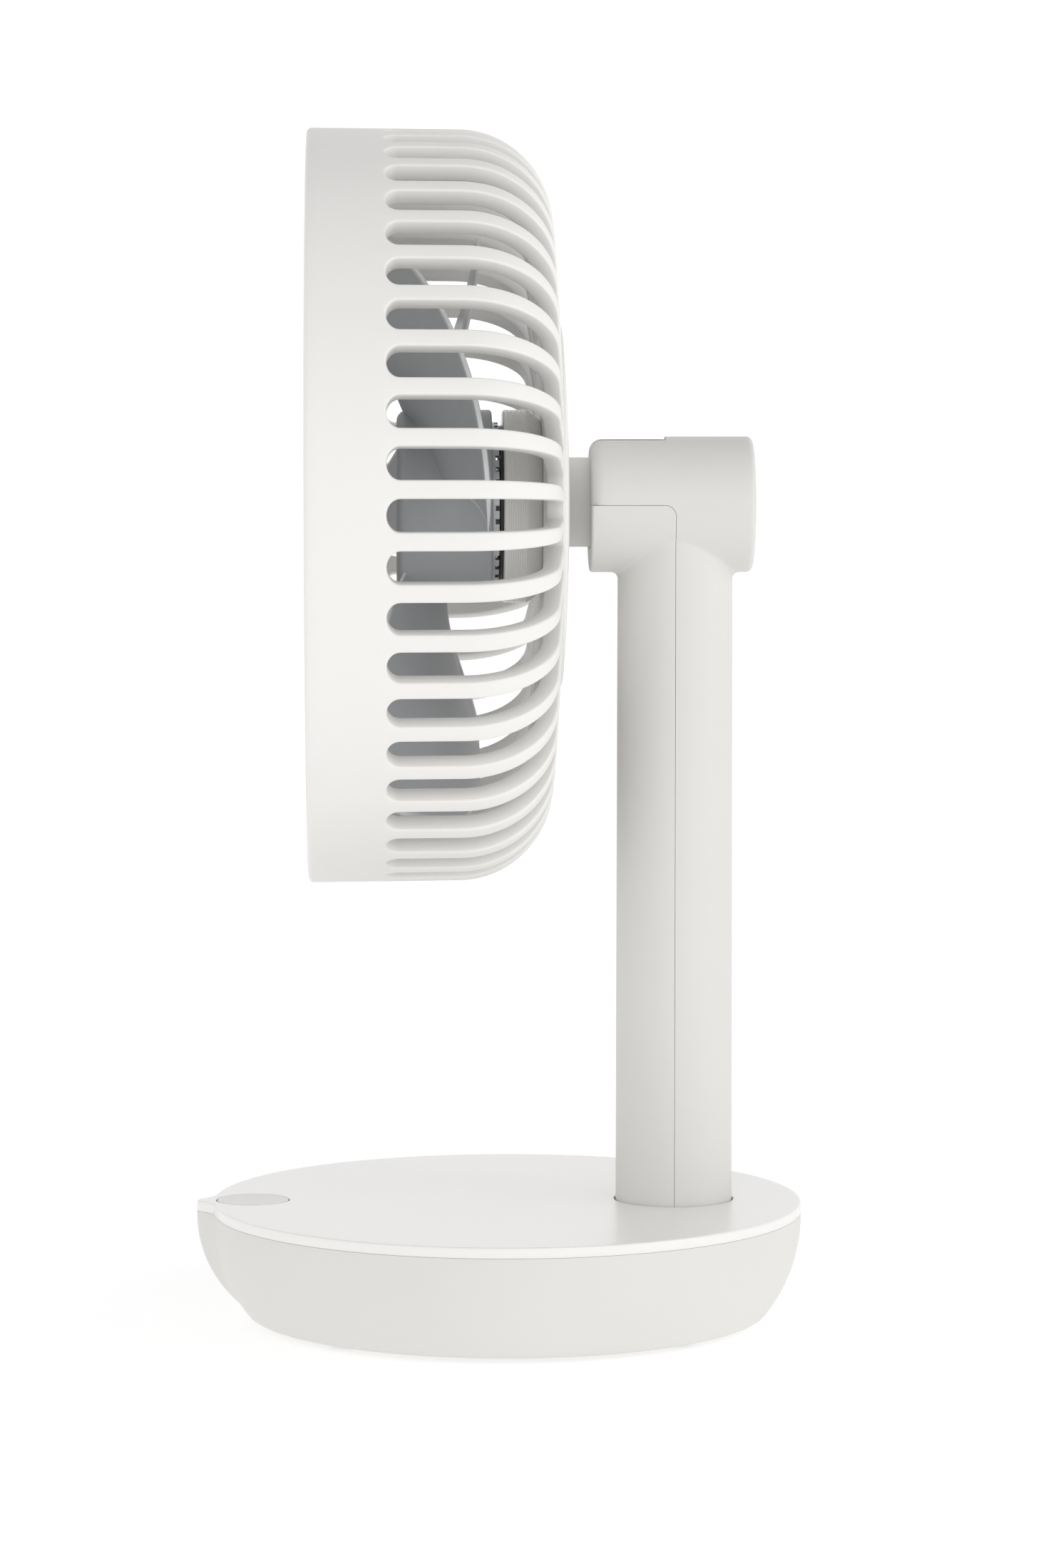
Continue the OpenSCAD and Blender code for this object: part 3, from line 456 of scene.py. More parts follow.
def rearGrille():
    shape = {"front": -53.0, "frontRadius": 100.25, "lipSoft": 1.3, "sideRadius": 99.85, "shoulderX": -13.2,
             "shoulderR": 25.0, "rearX": 13.6, "openShare": 0.64, "slots": 48, "wall": 4.6,
             "slotFrontX": -29.1, "slotEndRadius": 53.2, "bandFront": 5.2, "bandRear": 3.5}
    halfSlot = math.pi / shape["slots"] * shape["openShare"]
    lipSoft = shape["lipSoft"]
    points = [(shape["front"] + lipSoft, shape["frontRadius"], 0, 1)]
    points += [(shape["shoulderX"], shape["sideRadius"], 0, 1)]
    cx, cr = shape["shoulderX"], shape["sideRadius"] - shape["shoulderR"]
    for x, r in arc(cx, cr, shape["shoulderR"], 87, 3, 28):
        a = math.atan2(r - cr, x - cx)
        points.append((x, r, math.cos(a), math.sin(a)))
    endX = cx + shape["shoulderR"]
    points += [(endX + 0.02, cr, 0.998, 0.06), (12.8, 62.0, 0.997, 0.072), (13.35, 54.0, 0.998, 0.06),
               (shape["rearX"], 49.0, 1, 0.02), (shape["rearX"], 20.5, 1, 0)]
    path = measured(points)

    def lengthAt(test):
        # the length along the outline up to which the test holds
        low, high = 0.0, path[-1][4]
        for _ in range(50):
            mid = (low + high) / 2
            if test(along(path, mid)):
                low = mid
            else:
                high = mid
        return low

    start = lengthAt(lambda p: p[0] < shape["slotFrontX"])
    end = lengthAt(lambda p: p[1] > shape["slotEndRadius"])
    bendFrom, bendTo = lengthAt(lambda p: p[0] < shape["shoulderX"]), lengthAt(lambda p: p[1] > cr + 0.4)
    rows = [0.0]
    for a, b, n in ((start, bendFrom, 4), (bendFrom, bendTo, 20), (bendTo, end, 6)):
        rows.extend(((a + (b - a) * i / n) - start) / (end - start) for i in range(1, n + 1))
    cell = {"start": start, "end": end, "halfAngle": halfSlot, "tipA": 3.4, "tipB": 2.1, "rows": rows,
            "frameStart": start - shape["bandFront"], "frameEnd": end + shape["bandRear"], "plainRows": 7}
    f = shape["front"]
    lip = [(f + lipSoft - lipSoft * math.sin(a), shape["frontRadius"] - lipSoft + lipSoft * math.cos(a))
           for a in (math.pi / 8, math.pi / 4, 3 * math.pi / 8, math.pi / 2)]
    lip += [(f, 96.4), (f + 0.2, 95.95), (f + 0.7, 95.7)]
    sector = slottedSector("rearGrille", path, [cell], shape["wall"], shape["slots"], lip, 5,
                           {"sideSoft": 0.62, "tipSoft": 0.7, "endSoft": 0.5, "innerSoft": 0.4, "softSteps": 4})
    copyRound(sector, ring, finishes["shellWhite"], shape["slots"], (1, 0, 0), onFanAxis, 90)
    cleanUp(sector, 50)
    return finishPiece(sector, "head", "white_matte", finishes["shellWhite"], "rear_grille")


def frontGrille():
    shape = {"front": -52.2, "edge": 95.0, "slots": 48, "openShare": 0.64, "thick": 4.0, "centre": 30.4}
    halfSlot = math.pi / shape["slots"] * shape["openShare"]
    x = shape["front"]
    path = measured([(x, r, -1, 0) for r in (shape["edge"], 80.0, 60.0, 45.0, shape["centre"])])

    def ringCell(frameOut, start, end, frameIn, tipA, tipB):
        # radii from the edge inwards, made lengths along the flat face
        names = ("frameStart", "start", "end", "frameEnd")
        cell = {key: shape["edge"] - r for key, r in zip(names, (frameOut, start, end, frameIn))}
        return {**cell, "halfAngle": halfSlot, "rows": [i / 8 for i in range(9)], "plainRows": 1,
                "tipA": tipA, "tipB": tipB}

    outer = ringCell(93.3, 87.9, 64.9, 61.2, 3.6, 2.6)
    inner = ringCell(61.1, 57.2, 35.4, 32.6, 2.3, 1.4)
    lip = [(x + 0.15, 95.35), (x + 0.5, 95.5), (x + 7.6, 95.5), (x + 8.0, 95.1), (x + 8.0, 92.6), (x + 4.5, 92.2)]
    sector = slottedSector("frontGrille", path, [outer, inner], shape["thick"], shape["slots"], lip, 2,
                           {"sideSoft": 0.55, "tipSoft": 0.55, "endSoft": 0.45, "innerSoft": 0.3, "softSteps": 4})
    copyRound(sector, ring, finishes["shellWhite"], shape["slots"], (1, 0, 0), onFanAxis, 90)
    cleanUp(sector, 50)
    return finishPiece(sector, "head", "white_matte", finishes["shellWhite"], "front_grille")


grille = rearGrille()
front = frontGrille()
print("grilles built:", len(grille.data.polygons), "and", len(front.data.polygons), "faces")


# rotor

def bladePoint(u, t, side, look):
    cut = 9 * max(0, 1 - t / 0.1) ** 2.2 + 9 * max(0, (t - 0.9) / 0.1) ** 2.2
    root = look["hubRadius"] - 1.4
    r = root + (look["tipRadius"] - cut - root) * u
    turn = math.radians(-3.4 + 15 * (1 - u) + 67 * t)
    x = -16.2 + 9.4 * u * u * (3 - 2 * u) - (10.7 + 24.3 * u) * t ** (1.2 + u)
    y, z = -r * math.cos(turn), r * math.sin(turn)
    return x + side * look["thickness"] / 2, y, z


def fanBlade():
    look = {"hubRadius": 25.7, "tipRadius": 85.5, "thickness": 1.7, "blades": 3, "hubFront": -29.4, "hubRear": -4.2}
    nu, nt = 26, 56
    # closed loops of points round the blade section, one for each step from hub to tip
    spread = [0.5 - 0.5 * math.cos(math.pi * j / nt) for j in range(nt + 1)]
    verts, tone = [], []
    for i in range(nu + 1):
        u = i / nu
        for side, order in ((1, range(nt + 1)), (-1, range(nt - 1, 0, -1))):
            for j in order:
                t = spread[j]
                thin = min(1.0, 0.25 + 9 * min(t, 1 - t)) * (0.55 if i == nu else 1.0)
                verts.append(bladePoint(u, t, side * thin, look))
                # share of painted highlight: full on the leading, trailing and tip edges and gone a short way in
                near = min(t, 1 - t) * (1.2 + 0.4 * u)
                tone.append(max(0.0, 1 - near / 0.02, 1 - (1 - u) / 0.02))
    cols = 2 * nt
    faces = gridFaces(nu + 1, cols, wrap=True)
    last = nu * cols
    for j in range(nt):  # the tip edge closes the section
        a, b = last + j, last + j + 1
        c, d = last + (cols - j - 1) % cols, last + (cols - j) % cols
        quad = list(dict.fromkeys((a, b, c if j < nt - 1 else b, d if j else a)))
        if len(quad) > 2:
            faces.append(quad)
    blade = makeObject("bladeShape", verts, faces)
    layer = blade.data.attributes.new("edgeHighlight", "FLOAT", "POINT")
    for i, value in enumerate(tone):
        layer.data[i].value = value
    copyRound(blade, ring, finishes["bladeGrey"], look["blades"], (1, 0, 0), onFanAxis, 0, 0.0001)
    cleanUp(blade, 60)
    f, b = look["hubFront"], look["hubRear"]
    outline = [(f, 0.01), (f, 8.0), (f + 0.5, 9.0), (f + 0.5, 12.0), (f, 13.0)]
    for k in range(8):  # rounded front edge
        a = math.pi / 2 * (1 - k / 7)
        outline.append((f + 3 - 3 * math.sin(a), 22.7 + 3 * math.cos(a)))
    outline += [(b - 0.5, look["hubRadius"]), (b, 25.2), (b, 22.45), (f + 2.2, 22.4), (f + 2.0, 4.4),
                (f + 7.4, 4.4), (f + 7.4, 0.01)]
    hub = lathe("hubShape", outline, 128, "x", onFanAxis, closed=False)
    piece = joinPieces("fanBlade", [blade, hub])
    return finishPiece(piece, "rotor", "blade_grey", finishes["bladeGrey"], "fan_blade")


def motorMount():
    look = {"front": -1.3, "radius": 25.7, "ridges": 9, "ridgeStep": 0.62}
    x, r = look["front"], look["radius"]
    outline = [(x - 4.7, 4.6), (x - 4.7, 9.6), (x - 4.3, 10.0), (x - 0.1, 10.0), (x, 10.2), (x, 25.0),
               (x + 0.25, 25.5), (x + 0.6, r)]
    for k in range(look["ridges"]):  # fine turned ridges
        a = x + 1.2 + k * look["ridgeStep"]
        outline += [(a, r), (a + 0.12, r - 0.08), (a + 0.24, r)]
    outline += [(5.0, r), (5.5, 25.55), (8.6, 23.1), (9.0, 22.6), (9.0, 20.7), (0.9, 20.7), (0.9, 4.6)]
    body = lathe("motorMount", outline, 128, "x", onFanAxis)
    tube = lathe("motorTube", [(-20, 4.6), (-20, 5.8), (-19.8, 6.0), (-5.9, 6.0), (-5.9, 4.6)], 64, "x", onFanAxis)
    piece = joinPieces("motorMount", [body, tube])
    return finishPiece(piece, "head", "mount_grey", finishes["mountGrey"], "motor_mount")


fanBlade()
motorMount()
print("rotor and motor mount built")


# rear disc, neck and front cap

def rearDisc():
    look = {"radius": 48.25, "rear": 13.6, "crownX": 16.3, "crown": 1.9, "slotHalf": 5.15, "slotLow": -11.35,
            "slotHigh": 12.65, "slotPower": 14}
    shift = place["pivotZ"] - place["fanAxis"]
    low, high = look["slotLow"] + shift, look["slotHigh"] + shift
    ball = (look["radius"] ** 2 + look["crown"] ** 2) / (2 * look["crown"])

    def crownAt(r):
        return look["crownX"] - ball + math.sqrt(ball * ball - r * r)

    n = 96
    midZ, halfZ = (low + high) / 2, (high - low) / 2
    hole = []
    for j in range(n):  # rounded rectangle, by direction from its middle
        a = 2 * math.pi * j / n
        c, s = math.cos(a), math.sin(a)
        p = look["slotPower"]
        size = (abs(c / look["slotHalf"]) ** p + abs(s / halfZ) ** p) ** (-1 / p)
        hole.append((c * size, midZ + s * size))
    turns = [2 * math.pi * j / n for j in range(n)]
    edge = [(look["radius"] * math.cos(a), look["radius"] * math.sin(a)) for a in turns]
    rows = []
    rows.append([(look["rear"] + 1.2, y, z) for y, z in hole])
    rows.append([(crownAt(math.hypot(y, z)) - 0.12, y, z) for y, z in hole])
    for k in range(1, 13):
        t = k / 12
        ringNow = []
        for (hy, hz), (ey, ez) in zip(hole, edge):
            y, z = hy + (ey * 0.985 - hy) * t, hz + (ez * 0.985 - hz) * t
            ringNow.append((crownAt(math.hypot(y, z)), y, z))
        if k == 1:
            rows.append([(crownAt(math.hypot(y, z)), hy + (y - hy) * 0.08, hz + (z - hz) * 0.08)
                         for (_, y, z), (hy, hz) in zip(ringNow, hole)])
        rows.append(ringNow)
    for out, back in ((0.993, 0.12), (0.998, 0.3), (1.0, 0.55)):
        rows.append([(crownAt(look["radius"] * 0.985) - back, y * out, z * out) for y, z in edge])
    rows.append([(look["rear"] + 0.02, y, z) for y, z in edge])
    rows.append([(look["rear"] + 0.02, y * 0.45, z * 0.45) for y, z in edge])
    rows.append([(look["rear"] + 1.1, y * 0.43, z * 0.43) for y, z in edge])
    verts = [(x, y, z + place["fanAxis"]) for r in rows for x, y, z in r]
    faces = gridFaces(len(rows), n, wrap=True) + closingFaces(len(rows), n)
    piece = cleanUp(makeObject("rearDisc", verts, faces), 50)
    return finishPiece(piece, "head", "white_matte", finishes["shellWhite"], "rear_disc")


def neckPiece():
    look = {"halfWidth": 5.0, "low": -11.2, "high": 12.5, "from": 11.4, "soft": 0.45, "softMid": 0.13, "roundX": -8.0}
    px, pz = place["pivotX"], place["pivotZ"]
    half, soft, mid, rear = look["halfWidth"], look["soft"], look["softMid"], look["from"] - px
    outline = [(rear, look["low"])] + arc(0, 0, -look["low"], -90, 33, 16)
    outline += [(-16.0, look["high"] - 0.05), (rear, look["high"])]
    n = len(outline)
    rows = []
    for y, inset in ((-half, soft), (-half + mid, mid), (-half + soft, 0),
                     (half - soft, 0), (half - mid, mid), (half, soft)):
        rows.append([(px + x - (inset if x > look["roundX"] else 0), y,
                      pz + z - math.copysign(inset if abs(z) > 3 else 0, z)) for x, z in outline])
    verts = [v for r in rows for v in r]
    faces = gridFaces(len(rows), n, wrap=True)
    faces.append(tuple(range(n)))
    faces.append(tuple(reversed(range((len(rows) - 1) * n, len(rows) * n))))
    tongue = cleanUp(makeObject("neckTongue", verts, faces), 45)
    plate = [(11.4, 0.01), (11.4, 19.3), (11.6, 19.5), (13.4, 19.5), (13.6, 19.3), (13.6, 0.01)]
    flange = lathe("neckFlange", plate, 64, "x", onFanAxis, closed=False)
    piece = joinPieces("neckPiece", [tongue, flange])
    return finishPiece(piece, "head", "neck_grey", finishes["neckGrey"], "neck")


def frontCap():
    x = -52.8
    rows = [(x + 2.0, 0.01), (x + 2.0, 29.9), (x + 1.0, 30.0), (x + 0.35, 29.95), (x + 0.08, 29.7), (x + 0.02, 29.3)]
    rows += [(x + 0.02 + 0.66 * (1 - (r / 29.3) ** 2), r) for r in (26, 22, 18, 14, 10, 6, 2.5, 0.01)]
    piece = lathe("frontCap", rows, 128, "x", onFanAxis, closed=False)
    return finishPiece(piece, "head", "cap_grey", finishes["capGrey"], "front_cap")


rearDisc()
neckPiece()
frontCap()
print("disc, neck and cap built")


# column shells

column = {"x": 45.0, "footRadius": 15.65, "topRadius": 15.35, "barrel": 18.1, "front": 22.1, "rear": 65.5,
          "frontSoft": 3.3, "lowFrontSoft": 0.7, "rearSoft": 1.6, "fillet": 1.8, "wall": 2.1, "slotHalf": 5.35,
          "slotEnd": 42.3, "slotLow": -11.6, "seam": 0.05, "seamCorner": 3.0}


def barrelPoint(x, a, r):
    # a is measured from straight down, round the barrel
    return (x, r * math.sin(a), place["pivotZ"] - r * math.cos(a))


def columnSkin(frontSoft):
    # the whole outside of tube and barrel, with one softness of its front edge
    verts, faces = [], []
    barrel, f, pz, n = column["barrel"], column["fillet"], place["pivotZ"], 96

    def addRows(rows, wrap):
        start = len(verts)
        for r in rows:
            verts.extend(r)
        faces.extend(gridFaces(len(rows), len(rows[0]), wrap=wrap, start=start))

    def radiusAt(z):
        t = (z - place["topPlane"]) / (pz - place["topPlane"])
        return column["footRadius"] + (column["topRadius"] - column["footRadius"]) * max(0, t)

    # upright tube and the hollow blend up to the barrel
    foot = place["topPlane"] - 7.9
    rho = column["topRadius"]
    turn = [2 * math.pi * j / n for j in range(n)]
    contact, tubeTop = [], []
    blendRows = [[] for _ in range(9)]
    for a in turn:
        y = (rho + f) * math.sin(a)
        cx, cz = column["x"] + (rho + f) * math.cos(a), pz - math.sqrt((barrel + f) ** 2 - y * y)
        centre = Vector((cx, y, cz))
        onTube = Vector((column["x"] + rho * math.cos(a), rho * math.sin(a), cz))
        onBarrel = Vector((cx, y * barrel / (barrel + f), pz - (pz - cz) * barrel / (barrel + f)))
        d0, d1 = (onTube - centre).normalized(), (onBarrel - centre).normalized()
        for k in range(9):
            blendRows[k].append(tuple(centre + d0.slerp(d1, k / 8) * f))
        contact.append((cx, math.asin(y / (barrel + f))))
        tubeTop.append(cz)
    tubeRows = []
    for t in (0, 0.05, 0.3, 0.6, 0.85):
        zs = [foot + (top - foot) * t for top in tubeTop]
        tubeRows.append([(column["x"] + radiusAt(z) * math.cos(a), radiusAt(z) * math.sin(a), z)
                         for z, a in zip(zs, turn)])
    addRows(tubeRows + blendRows, True)

    # lower barrel: from the blend out to a rectangle of the unrolled wall
    x0, x1 = column["front"] + frontSoft, column["rear"] - column["rearSoft"]
    rect = []
    for a in turn:
        c, s = math.cos(a), math.sin(a)
        halfX = (x1 - column["x"]) if c > 0 else (column["x"] - x0)
        big = max(abs(c), abs(s))
        rect.append((column["x"] + halfX * c / big, math.pi / 2 * s / big))
    addRows([[barrelPoint(cx + (rx - cx) * k / 6, ca + (ra - ca) * k / 6, barrel)
              for (cx, ca), (rx, ra) in zip(contact, rect)] for k in range(7)], True)

    # upper wall and both ends, on the rectangle's own steps
    m = 40
    up = [math.pi / 2 + math.pi * i / m for i in range(m + 1)]
    addRows([[barrelPoint(rect[j][0], a, barrel) for a in up] for j in range(n // 8, 3 * n // 8 + 1)], False)
    around = [math.pi / 2 * math.tan(2 * math.pi * j / n) for j in range(-n // 8, n // 8 + 1)] + up[1:]
    for end, sign, soft in ((column["front"], 1, frontSoft), (column["rear"], -1, column["rearSoft"])):
        bends = [math.pi / 2 * k / 7 for k in range(8)]
        rows = [[barrelPoint(end + sign * (soft - soft * math.sin(b)), a, barrel - soft + soft * math.cos(b))
                 for a in around] for b in bends]
        rows += [[barrelPoint(end, a, (barrel - soft) * share) for a in around] for share in (0.86, 0.6, 0.3, 0.0)]
        addRows(rows, False)
    return cleanUp(makeObject("columnSkin", verts, faces), 60, 2e-5)


def cutPlane(bm, faces, point, normal):
    # cuts only the given faces along a plane
    geom = list({e for f in faces for e in f.edges}) + list({v for f in faces for v in f.verts}) + list(faces)
    bmesh.ops.bisect_plane(bm, geom=geom, dist=1e-7, plane_co=Vector(point) * mm, plane_no=Vector(normal))


def columnShell(name, isFront):
    # one shell of the column, on its own side of a fine seam that runs level, round a corner and down
    skin = columnSkin(column["lowFrontSoft"] if isFront else column["frontSoft"])
    bm = bmesh.new()
    bm.from_mesh(skin.data)
    gap = -column["seam"] if isFront else column["seam"]
    pz, r = place["pivotZ"], column["seamCorner"]
    corner = (place["pivotX"] + 0.3 - r, pz + 0.1 - r)
    side, top, r = corner[0] + r + gap, corner[1] + r + gap, r + gap
    turns = [math.pi / 2 * (k + 0.5) / 5 for k in range(5)]

    def middle(f):
        return f.calc_center_median() / mm

    def nearCorner(f):
        return abs(middle(f).y) > 10 and any(corner[0] < v.co.x / mm + 0.01 < side + 0.02
                                             and corner[1] < v.co.z / mm + 0.01 < top + 0.02 for v in f.verts)

    def cut(test, point, normal):
        cutPlane(bm, [f for f in bm.faces if test(f)], point, normal)

    cut(lambda f: middle(f).x < side + 3 and abs(middle(f).z - top) < 6, (0, 0, top), (0, 0, 1))
    cut(lambda f: middle(f).z < top + 2, (side, 0, 0), (1, 0, 0))
    for a in turns:
        cut(nearCorner, (corner[0] + r * math.cos(a), 0, corner[1] + r * math.sin(a)), (math.cos(a), 0, math.sin(a)))
    # slot for the neck, open to the front and the top
    h, low, slotEnd = column["slotHalf"], pz + column["slotLow"], column["slotEnd"]
    overSlot, foreSlot = pz + 8, column["front"]
    for y in (h, -h):
        cut(lambda f: middle(f).x < slotEnd + 3 and middle(f).z > pz - 14, (0, y, 0), (0, 1, 0))
    cut(lambda f: abs(middle(f).y) < h and middle(f).z > overSlot, (slotEnd, 0, 0), (1, 0, 0))
    cut(lambda f: abs(middle(f).y) < h and middle(f).x < foreSlot + 4, (0, 0, low), (0, 0, 1))

    def wanted(c):
        if abs(c.y) < h and c.x < slotEnd and c.z > low and (c.z > overSlot or c.x < foreSlot + 6):
            return False
        inside = c.x < side and c.z < top and all((c.x - corner[0]) * math.cos(a) + (c.z - corner[1]) * math.sin(a) < r
                                                  for a in turns)
        return inside == isFront

    bmesh.ops.delete(bm, geom=[f for f in bm.faces if not wanted(middle(f))], context="FACES")
    bmesh.ops.recalc_face_normals(bm, faces=bm.faces)
    bm.to_mesh(skin.data)
    bm.free()
    skin.name = name
    wall = skin.modifiers.new("wall", "SOLIDIFY")
    wall.thickness, wall.offset, wall.use_even_offset = column["wall"] * mm, -1.0, False
    keepResult(skin, wall)
    for vert in skin.data.vertices:  # the wall follows the round, so the slot's sides are set straight again
        x, y, z = vert.co / mm
        inSlot = x < slotEnd + 0.01 and z > low - 0.01 and (z > overSlot or x < foreSlot + 6)
        if inSlot and h - 1.6 < abs(y) < h + 0.3:
            vert.co.y = math.copysign(h, y) * mm
    cleanUp(skin, 40)
    node = "column_front_shell" if isFront else "column_rear_shell"
    return finishPiece(skin, "column", "white_matte", finishes["columnWhiteWithPaintedShade"], node)


shells = [columnShell("columnFront", True), columnShell("columnRear", False)]
print("column shells built:", [len(s.data.polygons) for s in shells])


# base

base = {"radius": 79.2, "noseOut": 4.3, "noseRadius": 3.4, "blend": 9.5, "coverThick": 2.8, "bowlDepth": 30.6,
        "arcRadius": 41.6, "arcDrop": 3.94, "keelArc": 31.2, "columnHole": 16.1, "buttonX": -68.5, "buttonHole": 9.95,
        "button": 9.6, "noseSpan": 9.0}


def nosePlan():
    # how far the edge stands out of the round, against the angle from the nose
    baseR, tipR = base["radius"], base["noseRadius"]
    tipX = baseR + base["noseOut"] - tipR
    dy = base["blend"] / baseR
    dx = math.sqrt(1 - dy * dy)
    blendR = (baseR * baseR + tipX * tipX - 2 * baseR * tipX * dx - tipR * tipR) / (2 * (tipR - baseR + tipX * dx))
    bx, by = dx * (baseR + blendR), dy * (baseR + blendR)
    touchY = by / (tipR + blendR) * tipR
    table = []
    for i in range(61):
        y = base["blend"] * (i / 60) ** 1.3
        x = tipX + math.sqrt(tipR * tipR - y * y) if y < touchY else bx - math.sqrt(blendR ** 2 - (y - by) ** 2)
        table.append((math.atan2(y, x), math.hypot(x, y) - baseR))
    return table


noseTable = nosePlan()


def noseStand(angle):
    angle = abs(angle)
    for a, b in zip(noseTable, noseTable[1:]):
        if angle <= b[0]:
            return a[1] + (b[1] - a[1]) * (angle - a[0]) / (b[0] - a[0])
    return 0.0


def planAngles():
    # turn angles, closer together round the nose; 180 degrees is the nose
    span = base["noseSpan"]
    fine = [span * (i / 34) ** 1.2 for i in range(35)]
    out = [180 - d for d in reversed(fine)][:-1] + [180 + d for d in fine]
    out += [180 + span + 2 * (180 - span) * i / 130 for i in range(1, 130)]
    return [math.radians(a) for a in out]


planTurn = planAngles()


def fromNose(a):
    return a % (2 * math.pi) - math.pi


def planRing(drop, inset, stretch=1.0, radius=None):
    plainR = base["radius"] if radius is None else radius
    out = []
    for a in planTurn:
        r = plainR + noseStand(fromNose(a)) * stretch - inset
        out.append((r * math.cos(a), r * math.sin(a), place["topPlane"] - drop))
    return out


def circleRing(cx, r, drop, n):
    turns = [2 * math.pi * j / n for j in range(n)]
    return [(cx + r * math.cos(a), r * math.sin(a), place["topPlane"] - drop) for a in turns]


def topCover():
    verts, faces = [], []

    def addRings(rows):
        start, cols = len(verts), len(rows[0])
        for r in rows:
            verts.extend(r)
        faces.extend(gridFaces(len(rows), cols, wrap=True, start=start))
        return start, start + (len(rows) - 1) * cols, cols

    soft, thick = 0.55, base["coverThick"]
    rim = [planRing(0, 1.4), planRing(0, soft)]
    rim += [planRing(soft - soft * math.cos(a), soft - soft * math.sin(a))
            for a in (math.pi / 8, math.pi / 4, 3 * math.pi / 8, math.pi / 2)]
    rim += [planRing(thick - 0.06, 0), planRing(thick, 0.06), planRing(thick, 1.6)]
    first, last, cols = addRings(rim)
    tops, bottoms = [(first, cols)], [(last, cols)]
    for cx, r, n in ((column["x"], base["columnHole"], 96), (base["buttonX"], base["buttonHole"], 72)):
        s = 0.3
        rings = [circleRing(cx, r + 1.0, 0, n), circleRing(cx, r + s, 0, n)]
        rings += [circleRing(cx, r + s - s * math.sin(a), s - s * math.cos(a), n)
                  for a in (math.pi / 6, math.pi / 3, math.pi / 2)]
        rings += [circleRing(cx, r, thick, n)]
        a, b, c = addRings(rings)
        tops.append((a, c))
        bottoms.append((b, c))
    obj = makeObject("topCover", verts, faces)
    bm = bmesh.new()
    bm.from_mesh(obj.data)
    bm.verts.ensure_lookup_table()
    for group in (tops, bottoms):
        edges = []
        for start, c in group:
            for j in range(c):
                edges.append(bm.edges.get((bm.verts[start + j], bm.verts[start + (j + 1) % c])))
        bmesh.ops.triangle_fill(bm, use_beauty=True, use_dissolve=False, edges=edges)
    bm.to_mesh(obj.data)
    bm.free()
    cleanUp(obj, 50)
    return finishPiece(obj, "base", "white_satin", finishes["coverWhite"], "base_top_cover")


def cutOpenings(obj):
    # the charging inlet at the back and the sunk heads of the four screws underneath
    look = {"inletHalf": 4.5, "inletHigh": 1.65, "inletZ": 16.2, "screwAt": 62.0, "headRadius": 2.75, "headDeep": 3.6}
    h, r = look["inletHalf"] - look["inletHigh"], look["inletHigh"]
    outline = [(h + r * math.cos(a), r * math.sin(a)) for a in [math.pi * (k / 12 - 0.5) for k in range(13)]]
    outline += [(-y, -z) for y, z in outline]
    n = len(outline)
    verts = [(x, y, look["inletZ"] + z) for x in (66.0, 90.0) for y, z in outline]
    faces = gridFaces(2, n, wrap=True) + [tuple(range(n)), tuple(range(2 * n - 1, n - 1, -1))]
    cutters = [cleanUp(makeObject("inletCutter", verts, faces))]
    headR, deep = look["headRadius"], look["headDeep"]
    for k in range(4):
        a = math.radians(45 + 90 * k)
        centre = (look["screwAt"] * math.cos(a), look["screwAt"] * math.sin(a), 0)
        head = [(-1, 0), (-1, headR), (deep, headR), (deep, 0)]
        cutters.append(lathe("screwCutter", head, 40, "z", centre, closed=False))
    cutter = joinPieces("openingCutter", cutters)
    cut = obj.modifiers.new("openings", "BOOLEAN")
    cut.operation, cut.solver, cut.object = "DIFFERENCE", "EXACT", cutter
    keepResult(obj, cut)
    bpy.data.objects.remove(cutter)
    cleanUp(obj, 50)


def bowl():
    baseR, arcR, drop0, keelArc = base["radius"], base["arcRadius"], base["arcDrop"], base["keelArc"]

    def bowlRadius(drop):
        return baseR if drop < drop0 else baseR - arcR + math.sqrt(arcR ** 2 - (drop - drop0) ** 2)

    def keelShare(drop):
        # how much of the nose is left at a depth under the top
        keel = baseR + base["noseOut"] - keelArc + math.sqrt(keelArc ** 2 - min(31.0, max(0, drop - 4)) ** 2)
        return max(0.0, (keel - bowlRadius(drop)) / base["noseOut"])

    top = base["coverThick"] + 0.07
    rows = [planRing(drop, inset) for drop, inset in
            ((top + 4, 2.3), (top, 2.3), (top, 0.12), (top + 0.04, 0.03), (top + 0.3, 0))]
    for k in range(1, 23):
        drop = top + 0.3 + (base["bowlDepth"] - 1.4 - top - 0.3) * k / 22
        rows.append(planRing(drop, 0, keelShare(drop), bowlRadius(drop)))
    endR = bowlRadius(base["bowlDepth"] - 1.4)
    for out, drop in ((-0.55, 0.75), (-1.25, 0.32), (-2.1, 0.08), (-3.2, 0.0)):
        rows.append(planRing(base["bowlDepth"] - drop, 0, 0, endR + out))
    for share in (0.8, 0.5, 0.2, 0.0):
        rows.append(planRing(base["bowlDepth"], 0, 0, (endR - 3.2) * share))
    inner = [planRing(base["bowlDepth"] - 2.2, 0, 0, r) for r in (0.0, 30.0, endR - 6)]
    for k in range(0, 9):
        drop = base["bowlDepth"] - 4.5 - (base["bowlDepth"] - 4.5 - top - 5) * k / 8
        inner.append(planRing(drop, 2.4, 0, bowlRadius(drop)))
    verts = [v for r in rows + inner for v in r]
    n = len(planTurn)
    faces = gridFaces(len(rows), n, wrap=True) + gridFaces(len(inner), n, wrap=True, start=len(rows) * n)
    faces += closingFaces(len(rows) + len(inner), n)
    obj = cleanUp(makeObject("bowl", verts, faces), 50)
    cutOpenings(obj)
    return finishPiece(obj, "base", "white_matte", finishes["bowlWhiteWithPaintedShade"], "base_bowl")


